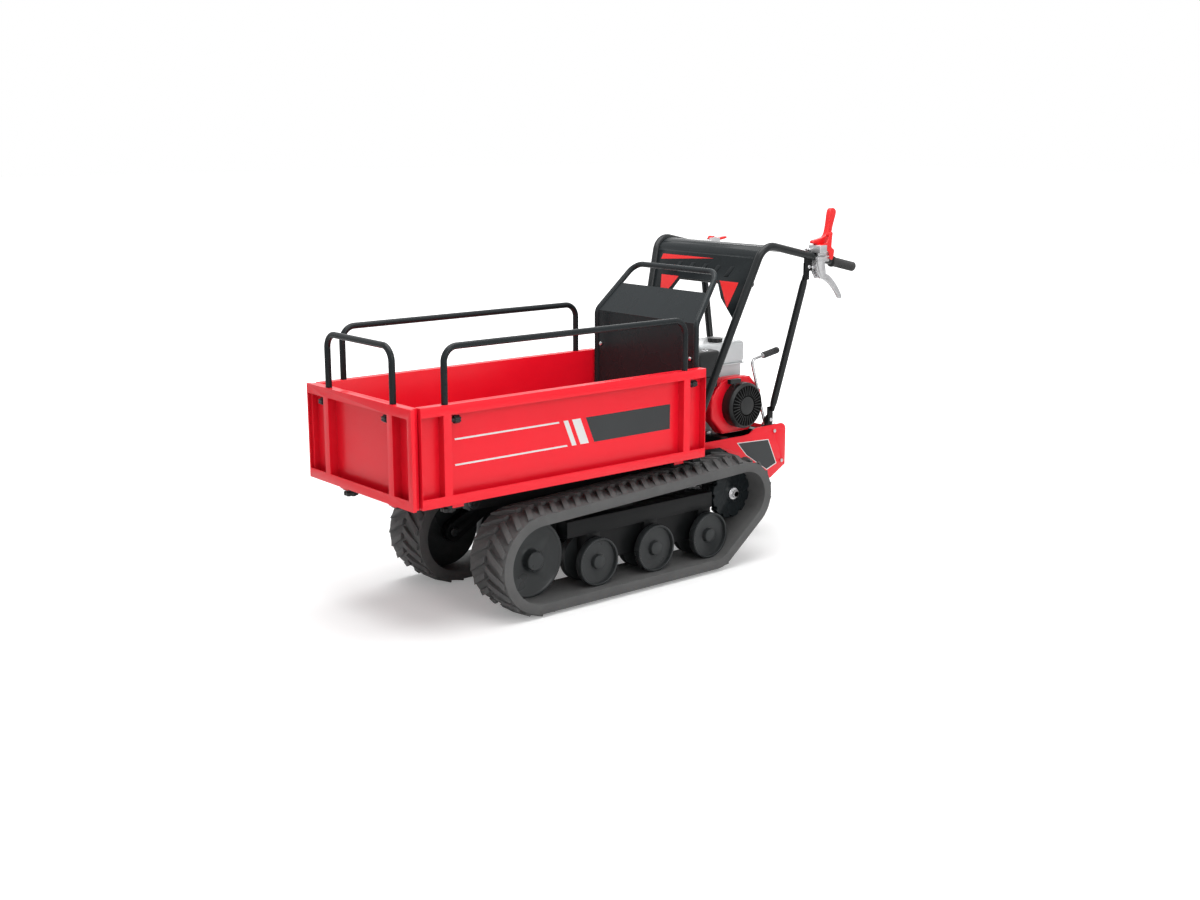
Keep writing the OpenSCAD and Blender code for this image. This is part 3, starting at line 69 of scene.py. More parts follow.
# soft studio light from above, the front and both sides
lampSet = [
    {"name": "topPanel", "place": (0.3, 0.2, 4.2), "aim": (0, 0, 0.4), "size": 4.2, "power": 172},
    {"name": "leftPanel", "place": (0.6, 4.2, 2.6), "aim": (0.1, 0, 0.5), "size": 2.6, "power": 50},
    {"name": "frontPanel", "place": (4.4, 0.4, 2.4), "aim": (0.2, 0, 0.5), "size": 2.4, "power": 2},
    {"name": "rearPanel", "place": (-3.8, -2.4, 2.6), "aim": (-0.2, 0, 0.5), "size": 2.6, "power": 26},
]
for lamp in lampSet:
    panel = bpy.data.lights.new(lamp["name"], "AREA")
    panel.shape = "DISK"
    panel.size = lamp["size"]
    panel.energy = lamp["power"]
    light = bpy.data.objects.new(lamp["name"], panel)
    scene.collection.objects.link(light)
    light.location = lamp["place"]
    facing = Vector(lamp["aim"]) - Vector(lamp["place"])
    light.rotation_euler = facing.to_track_quat("-Z", "Y").to_euler()


# node helpers: a value, a colour or a link goes into a socket

def feed(tree, socket, value):
    if isinstance(value, (int, float)):
        socket.default_value = value
    elif isinstance(value, tuple):
        socket.default_value = (*value, 1)
    else:
        tree.links.new(value, socket)


def noiseNode(tree, coord, scale, detail, rough):
    noise = tree.nodes.new("ShaderNodeTexNoise")
    for label, value in (("Vector", coord), ("Scale", scale), ("Detail", detail), ("Roughness", rough)):
        feed(tree, noise.inputs[label], value)
    return noise.outputs[0]


def remap(tree, value, low, high, toLow=0.0, toHigh=1.0):
    spread = tree.nodes.new("ShaderNodeMapRange")
    labels = ("Value", "From Min", "From Max", "To Min", "To Max")
    for label, given in zip(labels, (value, low, high, toLow, toHigh)):
        feed(tree, spread.inputs[label], given)
    return spread.outputs["Result"]


def blendColour(tree, share, first, second):
    mix = tree.nodes.new("ShaderNodeMix")
    mix.data_type = "RGBA"
    for socket, value in (("Factor", share), (6, first), (7, second)):  # 6 and 7 are its colour sockets
        feed(tree, mix.inputs[socket], value)
    return mix.outputs[2]


def mathNode(tree, operation, first, second):
    node = tree.nodes.new("ShaderNodeMath")
    node.operation = operation
    feed(tree, node.inputs[0], first)
    feed(tree, node.inputs[1], second)
    return node.outputs[0]


def weighed(tree, first, second, share):
    return mathNode(tree, "ADD", mathNode(tree, "MULTIPLY", first, share),
                    mathNode(tree, "MULTIPLY", second, 1 - share))


# white room, seen as white, but dimmer ahead of the machine than behind it
roomLight = {"fill": 0.55, "ahead": 0.62, "behind": 1.25, "seen": 1.0}
world = bpy.data.worlds.new("studio")
scene.world = world
world.use_nodes = True
roomTree = world.node_tree
roomTree.nodes.clear()
rayPath = roomTree.nodes.new("ShaderNodeLightPath")
roomCoord = roomTree.nodes.new("ShaderNodeTexCoord")
roomAxes = roomTree.nodes.new("ShaderNodeSeparateXYZ")
roomTree.links.new(roomCoord.outputs["Generated"], roomAxes.inputs[0])
fill = remap(roomTree, roomAxes.outputs["X"], -1, 1, roomLight["fill"] * roomLight["behind"],
             roomLight["fill"] * roomLight["ahead"])
shinyRay = mathNode(roomTree, "MAXIMUM", rayPath.outputs["Is Glossy Ray"],
                    rayPath.outputs["Is Transmission Ray"])
seenRay = mathNode(roomTree, "MAXIMUM", rayPath.outputs["Is Camera Ray"], shinyRay)
level = remap(roomTree, seenRay, 0, 1, fill, roomLight["seen"])
backdrop = roomTree.nodes.new("ShaderNodeBackground")
backdrop.inputs["Color"].default_value = (1, 1, 1, 1)
roomTree.links.new(level, backdrop.inputs["Strength"])
roomOut = roomTree.nodes.new("ShaderNodeOutputWorld")
roomTree.links.new(backdrop.outputs[0], roomOut.inputs[0])
print("camera and light set")


# shared effects: each group puts out a colour, a roughness and a height

def newGroup(name, inputs):
    group = bpy.data.node_groups.new(name, "ShaderNodeTree")
    for label, value in inputs.items():
        kind = "Float" if isinstance(value, float) else "Vector" if len(value) == 3 else "Color"
        socket = group.interface.new_socket(label, in_out="INPUT", socket_type="NodeSocket" + kind)
        socket.default_value = value
    for label, kind in (("Colour", "Color"), ("Roughness", "Float"), ("Height", "Float")):
        group.interface.new_socket(label, in_out="OUTPUT", socket_type="NodeSocket" + kind)
    coord = group.nodes.new("ShaderNodeTexCoord").outputs["Object"]
    given = group.nodes.new("NodeGroupInput").outputs
    made = group.nodes.new("NodeGroupOutput").inputs
    return group, coord, given, made


# sprayed coat: slow tone drift, fine peel and uneven gloss
sprayLook = {"drift": 3.2, "mottle": 11.0, "driftShare": 0.65,
             "toneSpan": (0.32, 0.7), "glossSpan": (0.3, 0.7)}
sprayGroup, coord, given, made = newGroup("sprayedCoat", {
    "Colour": (0.5, 0.5, 0.5, 1), "Deep": (0.4, 0.4, 0.4, 1), "Peel Scale": 420.0,
    "Gloss Low": 0.28, "Gloss High": 0.42})
drift = noiseNode(sprayGroup, coord, sprayLook["drift"], detail=4.0, rough=0.6)
mottle = noiseNode(sprayGroup, coord, sprayLook["mottle"], detail=2.0, rough=0.5)
peel = noiseNode(sprayGroup, coord, given["Peel Scale"], detail=2.0, rough=0.5)
cloud = weighed(sprayGroup, drift, mottle, sprayLook["driftShare"])
tone = remap(sprayGroup, cloud, *sprayLook["toneSpan"])
gloss = remap(sprayGroup, mottle, *sprayLook["glossSpan"], given["Gloss Low"], given["Gloss High"])
feed(sprayGroup, made["Colour"], blendColour(sprayGroup, tone, given["Deep"], given["Colour"]))
feed(sprayGroup, made["Roughness"], gloss)
feed(sprayGroup, made["Height"], peel)

# moulded skin: pebbled grain with rubbed patches, for rubber and plastic
grainLook = {"patch": 11.0, "rubSpan": (0.42, 0.72), "roughSpan": (0.35, 0.7)}
grainGroup, coord, given, made = newGroup("mouldedGrain", {
    "Colour": (0.1, 0.1, 0.1, 1), "Rubbed": (0.15, 0.15, 0.15, 1), "Grain Scale": 900.0,
    "Rough Low": 0.5, "Rough High": 0.7})
patch = noiseNode(grainGroup, coord, grainLook["patch"], detail=5.0, rough=0.62)
pebble = grainGroup.nodes.new("ShaderNodeTexVoronoi")
feed(grainGroup, pebble.inputs["Vector"], coord)
feed(grainGroup, pebble.inputs["Scale"], given["Grain Scale"])
rub = remap(grainGroup, patch, *grainLook["rubSpan"])
worn = remap(grainGroup, patch, *grainLook["roughSpan"], given["Rough High"], given["Rough Low"])
feed(grainGroup, made["Colour"], blendColour(grainGroup, rub, given["Colour"], given["Rubbed"]))
feed(grainGroup, made["Roughness"], worn)
feed(grainGroup, made["Height"], pebble.outputs["Distance"])

# bare metal: brushed or cast, with darker hollows in its grain
metalLook = {"stain": 24.0, "streakShare": 0.6, "hollowSpan": (0.36, 0.6), "roughSpan": (0.3, 0.7)}
metalGroup, coord, given, made = newGroup("bareMetal", {
    "Colour": (0.7, 0.7, 0.7, 1), "Hollow": (0.4, 0.4, 0.4, 1), "Stretch": (1.0, 1.0, 1.0),
    "Scale": 300.0, "Rough Low": 0.3, "Rough High": 0.5})
pull = metalGroup.nodes.new("ShaderNodeVectorMath")
pull.operation = "MULTIPLY"
feed(metalGroup, pull.inputs[0], coord)
feed(metalGroup, pull.inputs[1], given["Stretch"])
streak = noiseNode(metalGroup, pull.outputs[0], given["Scale"], detail=4.0, rough=0.6)
stain = noiseNode(metalGroup, coord, metalLook["stain"], detail=4.0, rough=0.6)
cloud = weighed(metalGroup, streak, stain, metalLook["streakShare"])
hollow = remap(metalGroup, cloud, *metalLook["hollowSpan"])
brushed = remap(metalGroup, streak, *metalLook["roughSpan"], given["Rough High"], given["Rough Low"])
feed(metalGroup, made["Colour"], blendColour(metalGroup, hollow, given["Hollow"], given["Colour"]))
feed(metalGroup, made["Roughness"], brushed)
feed(metalGroup, made["Height"], streak)


def makeMaterial(name, group, values, bump, depth, metallic=0.0, coat=0.0, coatRough=0.1, specular=0.5,
                 calm=None):
    mat = bpy.data.materials.new(name)
    mat.use_nodes = True
    tree = mat.node_tree
    shader = tree.nodes["Principled BSDF"]
    effect = tree.nodes.new("ShaderNodeGroup")
    effect.node_tree = group
    for label, value in values.items():
        if label == "Stretch":
            effect.inputs[label].default_value = value
        else:
            feed(tree, effect.inputs[label], value)
    colour = effect.outputs["Colour"]
    if calm:  # less tint in the light it throws on its neighbours
        way = tree.nodes.new("ShaderNodeLightPath")
        share = mathNode(tree, "MULTIPLY", way.outputs["Is Diffuse Ray"], calm[0])
        colour = blendColour(tree, share, colour, calm[1])
    relief = tree.nodes.new("ShaderNodeBump")
    relief.inputs["Strength"].default_value = bump
    relief.inputs["Distance"].default_value = depth
    tree.links.new(effect.outputs["Height"], relief.inputs["Height"])
    for label, value in (("Base Color", colour), ("Roughness", effect.outputs["Roughness"]),
                         ("Normal", relief.outputs[0]), ("Metallic", metallic), ("Coat Weight", coat),
                         ("Coat Roughness", coatRough), ("Specular IOR Level", specular)):
        feed(tree, shader.inputs[label], value)
    return mat


def sprayed(name, colour, deep, peel, gloss, **shader):
    values = {"Colour": colour, "Deep": deep, "Peel Scale": peel,
              "Gloss Low": gloss[0], "Gloss High": gloss[1]}
    return makeMaterial(name, sprayGroup, values, **shader)


def moulded(name, colour, rubbed, grain, rough, **shader):
    values = {"Colour": colour, "Rubbed": rubbed, "Grain Scale": grain,
              "Rough Low": rough[0], "Rough High": rough[1]}
    return makeMaterial(name, grainGroup, values, **shader)


def bare(name, colour, hollow, scale, rough, stretch=(1.0, 1.0, 1.0), **shader):
    values = {"Colour": colour, "Hollow": hollow, "Scale": scale, "Stretch": stretch,
              "Rough Low": rough[0], "Rough High": rough[1]}
    return makeMaterial(name, metalGroup, values, **shader)


# the record's slots come first, then the paints of single pieces
finishes = {
    "red_paint": sprayed(
        "redPaint", colour=(0.93, 0.005, 0.021), deep=(0.89, 0.004, 0.018), peel=150.0, gloss=(0.3, 0.36),
        bump=0.012, depth=0.0003, coat=0.08, coatRough=0.16, specular=0.36, calm=(0.65, (0.24, 0.2, 0.2))),
    "dark_paint": sprayed(
        "darkPaint", colour=(0.0155, 0.0195, 0.0215), deep=(0.0125, 0.0155, 0.017), peel=200.0,
        gloss=(0.24, 0.32), bump=0.005, depth=0.0002, specular=0.18),
    "black_paint": sprayed(
        "blackPaint", colour=(0.008, 0.0085, 0.009), deep=(0.005, 0.0055, 0.006), peel=200.0,
        gloss=(0.34, 0.44), bump=0.02, depth=0.0004, specular=0.18),
    "tank_paint": sprayed(
        "tankPaint", colour=(0.74, 0.76, 0.77), deep=(0.68, 0.7, 0.71), peel=420.0, gloss=(0.26, 0.36),
        bump=0.05, depth=0.0005, coat=0.3, coatRough=0.15),
    "track_rubber": moulded(
        "trackRubber", colour=(0.094, 0.094, 0.094), rubbed=(0.108, 0.108, 0.107), grain=620.0,
        rough=(0.66, 0.82), bump=0.3, depth=0.0007, specular=0.35),
    "grip_rubber": moulded(
        "gripRubber", colour=(0.032, 0.032, 0.033), rubbed=(0.045, 0.045, 0.046), grain=1400.0,
        rough=(0.55, 0.72), bump=0.25, depth=0.0004, specular=0.4),
    "cast_aluminium": bare(
        "castAluminium", colour=(0.7, 0.7, 0.71), hollow=(0.5, 0.5, 0.51), scale=420.0, rough=(0.34, 0.5),
        bump=0.06, depth=0.0002, metallic=1.0),
    "bright_steel": bare(
        "brightSteel", colour=(0.72, 0.72, 0.73), hollow=(0.5, 0.5, 0.51), scale=260.0, rough=(0.2, 0.34),
        stretch=(1.0, 8.0, 1.0), bump=0.04, depth=0.0002, metallic=1.0),
    "cast_iron": bare(
        "castIron", colour=(0.06, 0.06, 0.062), hollow=(0.035, 0.035, 0.037), scale=300.0,
        rough=(0.5, 0.68), bump=0.3, depth=0.0008, metallic=0.3),
    "black_plastic": moulded(
        "blackPlastic", colour=(0.014, 0.015, 0.016), rubbed=(0.018, 0.019, 0.02), grain=1100.0,
        rough=(0.3, 0.42), bump=0.08, depth=0.0003, specular=0.36),
    "red_plastic": moulded(
        "redPlastic", colour=(0.83, 0.006, 0.008), rubbed=(0.88, 0.014, 0.014), grain=1000.0,
        rough=(0.3, 0.42), bump=0.1, depth=0.0004, coat=0.15, coatRough=0.2),
    "stripeWhite": sprayed(
        "stripeWhite", colour=(0.8, 0.79, 0.78), deep=(0.74, 0.73, 0.72), peel=700.0, gloss=(0.3, 0.42),
        bump=0.04, depth=0.0003),
    "stripeDark": sprayed(
        "stripeDark", colour=(0.024, 0.028, 0.03), deep=(0.018, 0.02, 0.022), peel=700.0,
        gloss=(0.28, 0.4), bump=0.04, depth=0.0003),
    "wheelPaint": sprayed(
        "wheelPaint", colour=(0.03, 0.033, 0.034), deep=(0.025, 0.028, 0.029), peel=200.0,
        gloss=(0.26, 0.36), bump=0.02, depth=0.0003, specular=0.3),
    "guardPaint": sprayed(
        "guardPaint", colour=(0.0195, 0.024, 0.0265), deep=(0.0165, 0.0205, 0.0225), peel=200.0,
        gloss=(0.24, 0.32), bump=0.005, depth=0.0002, specular=0.18),
    "tubePaint": sprayed(
        "tubePaint", colour=(0.0145, 0.0165, 0.0175), deep=(0.0115, 0.0135, 0.0145), peel=200.0,
        gloss=(0.26, 0.34), bump=0.01, depth=0.0003, specular=0.28),
    "starterGrey": moulded(
        "starterGrey", colour=(0.012, 0.013, 0.0135), rubbed=(0.015, 0.016, 0.0165), grain=1100.0,
        rough=(0.34, 0.46), bump=0.06, depth=0.0003, specular=0.4),
    # near-black finish for the starter's flat ring: painted shade for the slots between the ribs
    "starterWell": moulded(
        "starterWell", colour=(0.002, 0.002, 0.002), rubbed=(0.003, 0.003, 0.003), grain=1100.0,
        rough=(0.6, 0.7), bump=0.06, depth=0.0003, specular=0.05),
}
print("finishes made:", len(finishes))

# floor: keeps the shadow near the machine and fades to white round it; near the machine it carries painted
# shade (a darker base colour) and a weak painted glow that lifts the shadow, further out a full white glow
floorLook = {"half": 40.0, "drop": 0.0002, "colour": (0.84, 0.84, 0.84), "rim": (0.92, 0.92, 0.92),
             "rough": 0.9, "near": 1.3, "far": 3.0, "lift": 0.24}
bm = bmesh.new()
bmesh.ops.create_grid(bm, x_segments=1, y_segments=1, size=floorLook["half"])
floorMesh = bpy.data.meshes.new("floor")
bm.to_mesh(floorMesh)
bm.free()
floor = bpy.data.objects.new("floor", floorMesh)
floor.location.z = -floorLook["drop"]
scene.collection.objects.link(floor)
floorMat = bpy.data.materials.new("paleFloor")
floorMat.use_nodes = True
floorTree = floorMat.node_tree
floorShader = floorTree.nodes["Principled BSDF"]
floorPath = floorTree.nodes.new("ShaderNodeLightPath")
floorCoord = floorTree.nodes.new("ShaderNodeTexCoord")
reach = floorTree.nodes.new("ShaderNodeVectorMath")
reach.operation = "LENGTH"
floorTree.links.new(floorCoord.outputs["Object"], reach.inputs[0])
# painted shade and light: the base colour is darker near the machine, and camera rays see an emission glow
# that is weak near it and full further out
fade = remap(floorTree, reach.outputs["Value"], floorLook["near"], floorLook["far"])
lift = remap(floorTree, fade, 0.0, 1.0, floorLook["lift"], 1.0)
glow = mathNode(floorTree, "MULTIPLY", lift, floorPath.outputs["Is Camera Ray"])
shadedNearColour = blendColour(floorTree, fade, floorLook["colour"], floorLook["rim"])
for label, value in (("Base Color", shadedNearColour), ("Roughness", floorLook["rough"]), ("Specular IOR Level", 0.0),
                     ("Emission Color", (1, 1, 1)), ("Emission Strength", glow)):
    feed(floorTree, floorShader.inputs[label], value)
floorMesh.materials.append(floorMat)

# piece helpers, with lengths in metres and angles in degrees
meshLook = {"merge": 0.00001, "turnedMerge": 0.000005, "level": 1e-6, "flat": 0.6,
            "pieceSharp": 35, "nodeSharp": 32, "easeAngle": 38, "easeWide": 0.002}


def shadeSmooth(mesh, sharp):
    for face in mesh.polygons:
        face.use_smooth = True
    mesh.set_sharp_from_angle(angle=math.radians(sharp))


def newPiece(name, bm, body, finish):
    bmesh.ops.recalc_face_normals(bm, faces=bm.faces)
    mesh = bpy.data.meshes.new(name)
    bm.to_mesh(mesh)
    bm.free()
    shadeSmooth(mesh, meshLook["pieceSharp"])
    mesh.materials.append(finishes[finish])
    obj = bpy.data.objects.new(name, mesh)
    scene.collection.objects.link(obj)
    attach(obj, body)
    return obj


def copyNode(name):
    bm = bmesh.new()
    bm.from_mesh(nodes[name].data)
    bmesh.ops.remove_doubles(bm, verts=bm.verts, dist=meshLook["merge"])
    flat = math.radians(meshLook["flat"])
    bmesh.ops.dissolve_limit(bm, angle_limit=flat, verts=bm.verts, edges=bm.edges)
    return bm


def softBevel(bm, edges, width, segments, clamp=False):
    bmesh.ops.bevel(bm, geom=edges, offset=width, affect="EDGES", segments=segments, profile=0.5,
                    material=-1, clamp_overlap=clamp)


def easeEdges(bm, width, segments=2):
    sharp = math.radians(meshLook["easeAngle"])
    edges = [e for e in bm.edges if len(e.link_faces) == 2 and e.calc_face_angle(0) > sharp and e.is_convex]
    softBevel(bm, edges, width, segments, clamp=True)


def isLevel(edge):
    return abs(edge.verts[0].co.z - edge.verts[1].co.z) < meshLook["level"]


def middle(low, high):
    return [(a + b) / 2 for a, b in zip(low, high)]


def shifted(point, by):
    return [a + b for a, b in zip(point, by)]


def onSide(point, sign):
    x, y, z = point
    return Vector((x, sign * y, z))


def settle(bm, at, axis):
    turn = Vector(axis).to_track_quat("Z", "Y").to_matrix().to_4x4()
    bmesh.ops.transform(bm, matrix=Matrix.Translation(at) @ turn, verts=bm.verts)
    return bm


def gather(parts):
    whole = bmesh.new()
    for part in parts:
        carrier = bpy.data.meshes.new("carrier")
        part.to_mesh(carrier)
        part.free()
        whole.from_mesh(carrier)
        bpy.data.meshes.remove(carrier)
    return whole


def turnedShape(row, at, axis, steps):
    bm = bmesh.new()
    points = [bm.verts.new((r, 0, h)) for r, h in row]
    links = [bm.edges.new(pair) for pair in zip(points, points[1:])]
    bmesh.ops.spin(bm, geom=points + links, cent=(0, 0, 0), axis=(0, 0, 1), angle=2 * math.pi, steps=steps,
                   use_merge=True)
    bmesh.ops.remove_doubles(bm, verts=bm.verts, dist=meshLook["turnedMerge"])
    return settle(bm, at, axis)


def sleeveRow(bore, radius, low, high, soft):
    return [(bore, low), (radius - soft, low), (radius, low + soft), (radius, high - soft),
            (radius - soft, high), (bore, high), (bore, low)]


def flatSheet(points, thick):
    bm = bmesh.new()
    face = bm.faces.new([bm.verts.new((x, y, 0)) for x, y in points])
    grown = bmesh.ops.extrude_face_region(bm, geom=[face])["geom"]
    top = [v for v in grown if isinstance(v, bmesh.types.BMVert)]
    bmesh.ops.translate(bm, verts=top, vec=(0, 0, thick))
    return bm


def standing(x, y, z, sign):  # stands a flat sheet up, its thickness away from the middle
    return Matrix(((1, 0, 0, x), (0, 0, sign, y), (0, 1, 0, z), (0, 0, 0, 1)))


def cuboid(size):
    bm = bmesh.new()
    bmesh.ops.create_cube(bm, size=1)
    bmesh.ops.scale(bm, verts=bm.verts, vec=size)
    return bm


def roundedBox(low, high, corner, lid, segments=6):
    bm = cuboid([b - a for a, b in zip(low, high)])
    bmesh.ops.translate(bm, verts=bm.verts, vec=middle(low, high))
    softBevel(bm, [e for e in bm.edges if not isLevel(e)], corner, segments)
    flats = [e for e in bm.edges if e.calc_face_angle(0) > 1.2 and isLevel(e)]  # round the top and the foot
    softBevel(bm, flats, lid, segments)
    return bm


def tubeAlong(path, radius, ring=20):
    pts = [Vector(p) for p in path]
    ways = [(b - a).normalized() for a, b in zip(pts, pts[1:])]
    bm = bmesh.new()
    verts = bmesh.ops.create_circle(bm, cap_ends=True, segments=ring, radius=radius)["verts"]
    turn = Vector((0, 0, 1)).rotation_difference(ways[0])
    bmesh.ops.transform(bm, matrix=Matrix.Translation(pts[0]) @ turn.to_matrix().to_4x4(), verts=verts)
    facing = ways[0]
    for i in range(1, len(pts)):
        loop = [e for e in bm.edges if e.verts[0] in verts and e.verts[1] in verts]
        grown = bmesh.ops.extrude_edge_only(bm, edges=loop)["geom"]
        verts = [v for v in grown if isinstance(v, bmesh.types.BMVert)]
        ahead = (ways[i - 1] + ways[min(i, len(ways) - 1)]).normalized()
        turn = facing.rotation_difference(ahead).to_matrix().to_4x4()
        shift = Matrix.Translation(pts[i]) @ turn @ Matrix.Translation(-pts[i - 1])
        bmesh.ops.transform(bm, matrix=shift, verts=verts)
        facing = ahead
    last = [e for e in bm.edges if e.verts[0] in verts and e.verts[1] in verts]
    bmesh.ops.edgeloop_fill(bm, edges=last)
    return bm


def roundedPath(points, radius, steps=7):
    pts = [Vector(p) for p in points]
    path = [pts[0]]
    for a, b, c in zip(pts, pts[1:], pts[2:]):
        u, w = (a - b).normalized(), (c - b).normalized()
        half = u.angle(w) / 2
        mid = b + (u + w).normalized() * radius / math.sin(half)
        first = b + u * radius / math.tan(half) - mid
        last = b + w * radius / math.tan(half) - mid
        axis, sweep = first.cross(last), first.angle(last)
        path += [mid + Matrix.Rotation(sweep * k / steps, 3, axis) @ first for k in range(steps + 1)]
    return path + [pts[-1]]


# hexagon bolt on a washer, in shares of its size
boltLook = {"washer": ((0.45, 0), (1.02, 0), (1.05, 0.05), (1.05, 0.12), (1.0, 0.17), (0.45, 0.17)),
            "head": 0.82, "tall": 0.7, "soft": 0.12, "lift": 0.15}


def boltHead(at, axis, size, washer=True):
    parts = []
    if washer:
        row = [(size * r, size * h) for r, h in boltLook["washer"]]
        parts.append(turnedShape(row, at, axis, steps=28))
    head = bmesh.new()
    bmesh.ops.create_cone(head, cap_ends=True, segments=6, radius1=size * boltLook["head"],
                          radius2=size * boltLook["head"], depth=size * boltLook["tall"])
    top = [e for e in head.edges if all(v.co.z > 0 for v in e.verts)]
    softBevel(head, top, size * boltLook["soft"], 2)
    rise = boltLook["tall"] / 2 + (boltLook["lift"] if washer else 0)
    bmesh.ops.translate(head, verts=head.verts, vec=(0, 0, size * rise))
    parts.append(settle(head, at, axis))
    return gather(parts)


# every node takes its finish, and the folded and machined ones get eased edges
ownFinish = {"rear_guard": "guardPaint", "idler_left": "wheelPaint", "idler_right": "wheelPaint",
             "recoil_housing": "starterGrey"}
easedWidths = {
    "chassis_frame": 0.0015, "rear_cowl": 0.0012, "track_frame_left": 0.0015, "track_frame_right": 0.0015,
    "gearbox_case": 0.003, "crankcase": 0.0025, "cylinder_head": 0.001, "carburettor": 0.0015,
    "recoil_housing": 0.0008, "muffler": 0.005, "drive_belt": 0.001, "console_panel": 0.001,
    "handle_struts": 0.001, "chassis_bolts": 0.0008, "bed_frame": 0.0015, "bed_floor": 0.001,
    "guard_bolts": 0.0008, "side_panel_left": 0.0012, "side_panel_right": 0.0012, "front_panel": 0.0012,
    "idler_left": 0.002, "idler_right": 0.002, "sprocket_left": 0.0012, "sprocket_right": 0.0012,
    "engine_pulley": 0.001, "gearbox_pulley": 0.001, "recoil_handle": 0.002, "fuel_cap": 0.0015,
    "track_belt_left": 0.002, "track_belt_right": 0.002,
}
for name, obj in nodes.items():
    obj.data.materials.clear()
    obj.data.materials.append(finishes[ownFinish.get(name, slotOf[name])])
    shadeSmooth(obj.data, meshLook["nodeSharp"])
for name, width in easedWidths.items():
    eased = copyNode(name)
    easeEdges(eased, width, 3 if width >= meshLook["easeWide"] else 2)
    finish = ownFinish.get(name, slotOf[name])
    piece = newPiece(name + "_eased", eased, bodyOf[name], finish)
    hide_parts(name)
print("edges eased on", len(easedWidths), "nodes")

# rollers: dished wheels with a lip and a round hub cap
rollerLook = {
    "rim": 0.0065, "dish": 0.0165, "hub": 0.0235, "wide": 0.026, "round": 0.0022, "bite": 0.3, "lip": 0.7,
    "cap": ((0, 0.0012), (0.8, 0.0012), (0.95, -0.0008), (1, -0.004)),  # share of the hub, height on the face
    "hubFoot": ((0.0015, 0.001), (0.004, 0)), "rimFoot": ((-0.004, 0), (-0.001, 0.0012), (0, 0.004)),
    "neck": 0.03, "axle": 0.019, "neckStep": 0.004, "innerRim": 0.003, "innerHub": 0.002,
}


def treadRow(radius, top, low):
    soft = rollerLook["round"]
    bite = soft * rollerLook["bite"]
    return [(radius - soft, top), (radius - bite, top - bite), (radius, top - soft),
            (radius, low + soft), (radius - bite, low + bite), (radius - soft, low)]


def rollerRow(radius, outer, inner):
    hub, neck, axle = rollerLook["hub"], rollerLook["neck"], rollerLook["axle"]
    rim, lip = radius - rollerLook["rim"], rollerLook["round"] * rollerLook["lip"]
    dishLevelAndShadeRing, innerWell = outer - rollerLook["dish"], inner + rollerLook["dish"]
    outerBack, innerBack = outer - rollerLook["wide"], inner + rollerLook["wide"]
    row = [(hub * share, outer + rise) for share, rise in rollerLook["cap"]]
    row += [(hub + out, dishLevelAndShadeRing + rise) for out, rise in rollerLook["hubFoot"]]
    row += [(rim + out, dishLevelAndShadeRing + rise) for out, rise in rollerLook["rimFoot"]]
    row += [(rim, outer - lip), (rim + lip, outer)] + treadRow(radius, outer, outerBack)
    row += [(neck, outerBack), (axle, outerBack - rollerLook["neckStep"])]
    row += [(axle, innerBack + rollerLook["neckStep"]), (neck, innerBack)]
    row += treadRow(radius, innerBack, inner)
    row += [(rim, inner), (rim - rollerLook["innerRim"], innerWell), (hub, innerWell)]
    return row + [(hub - rollerLook["innerHub"], inner), (0, inner)]


for side, sign in bothSides:
    for spot in ("front", "mid", "rear"):
        name = "roller_" + side + "_" + spot
        low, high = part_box(name)
        outer, inner = (high[1], low[1]) if sign > 0 else (-low[1], -high[1])
        midX, _, midZ = middle(low, high)
        row = rollerRow((high[0] - low[0]) / 2, outer, inner)
        wheel = turnedShape(row, (midX, 0, midZ), (0, sign, 0), steps=64)
        piece = newPiece(name + "_dished", wheel, bodyOf[name], "wheelPaint")
        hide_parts(name)
print("rollers turned")

# plain stripes on the side walls: a dark block, two leaning bars and a long double line
wallStripe = {"face": 0.2705, "thick": 0.0003, "low": 0.517, "high": 0.600, "lean": 0.034,
              "block": (-0.062, 0.262), "bars": ((0.284, 0.318), (0.334, 0.352)),
              "lines": (0.37, 0.792), "line": 0.0055, "lineLean": 0.0023, "slant": 0.41}


def leaning(x0, x1, z0, z1, lean):
    return [(x0, z0), (x1, z0), (x1 + lean, z1), (x0 + lean, z1)]


low, high, lean, thick = (wallStripe[label] for label in ("low", "high", "lean", "thick"))
rear, front = wallStripe["block"]
start, end = wallStripe["lines"]
for side, sign in bothSides:
    darkBlock = flatSheet([(rear, low), (front, low), (front + lean, high), (rear, high)], thick)
    bars = [flatSheet(leaning(a, b, low, high, lean), thick) for a, b in wallStripe["bars"]]
    for rise in (0.0, high - low - wallStripe["line"]):
        line = leaning(start + rise * wallStripe["slant"], end, low + rise, low + rise + wallStripe["line"],
                       wallStripe["lineLean"])
        bars.append(flatSheet(line, thick))
    for label, bm, finish in (("Block", darkBlock, "stripeDark"), ("Bars", gather(bars), "stripeWhite")):
        bmesh.ops.transform(bm, matrix=standing(0, sign * wallStripe["face"], 0, sign), verts=bm.verts)
        newPiece("wall" + label + "_" + side, bm, "side_panel_" + side + "_body", finish)
print("wall stripes laid")

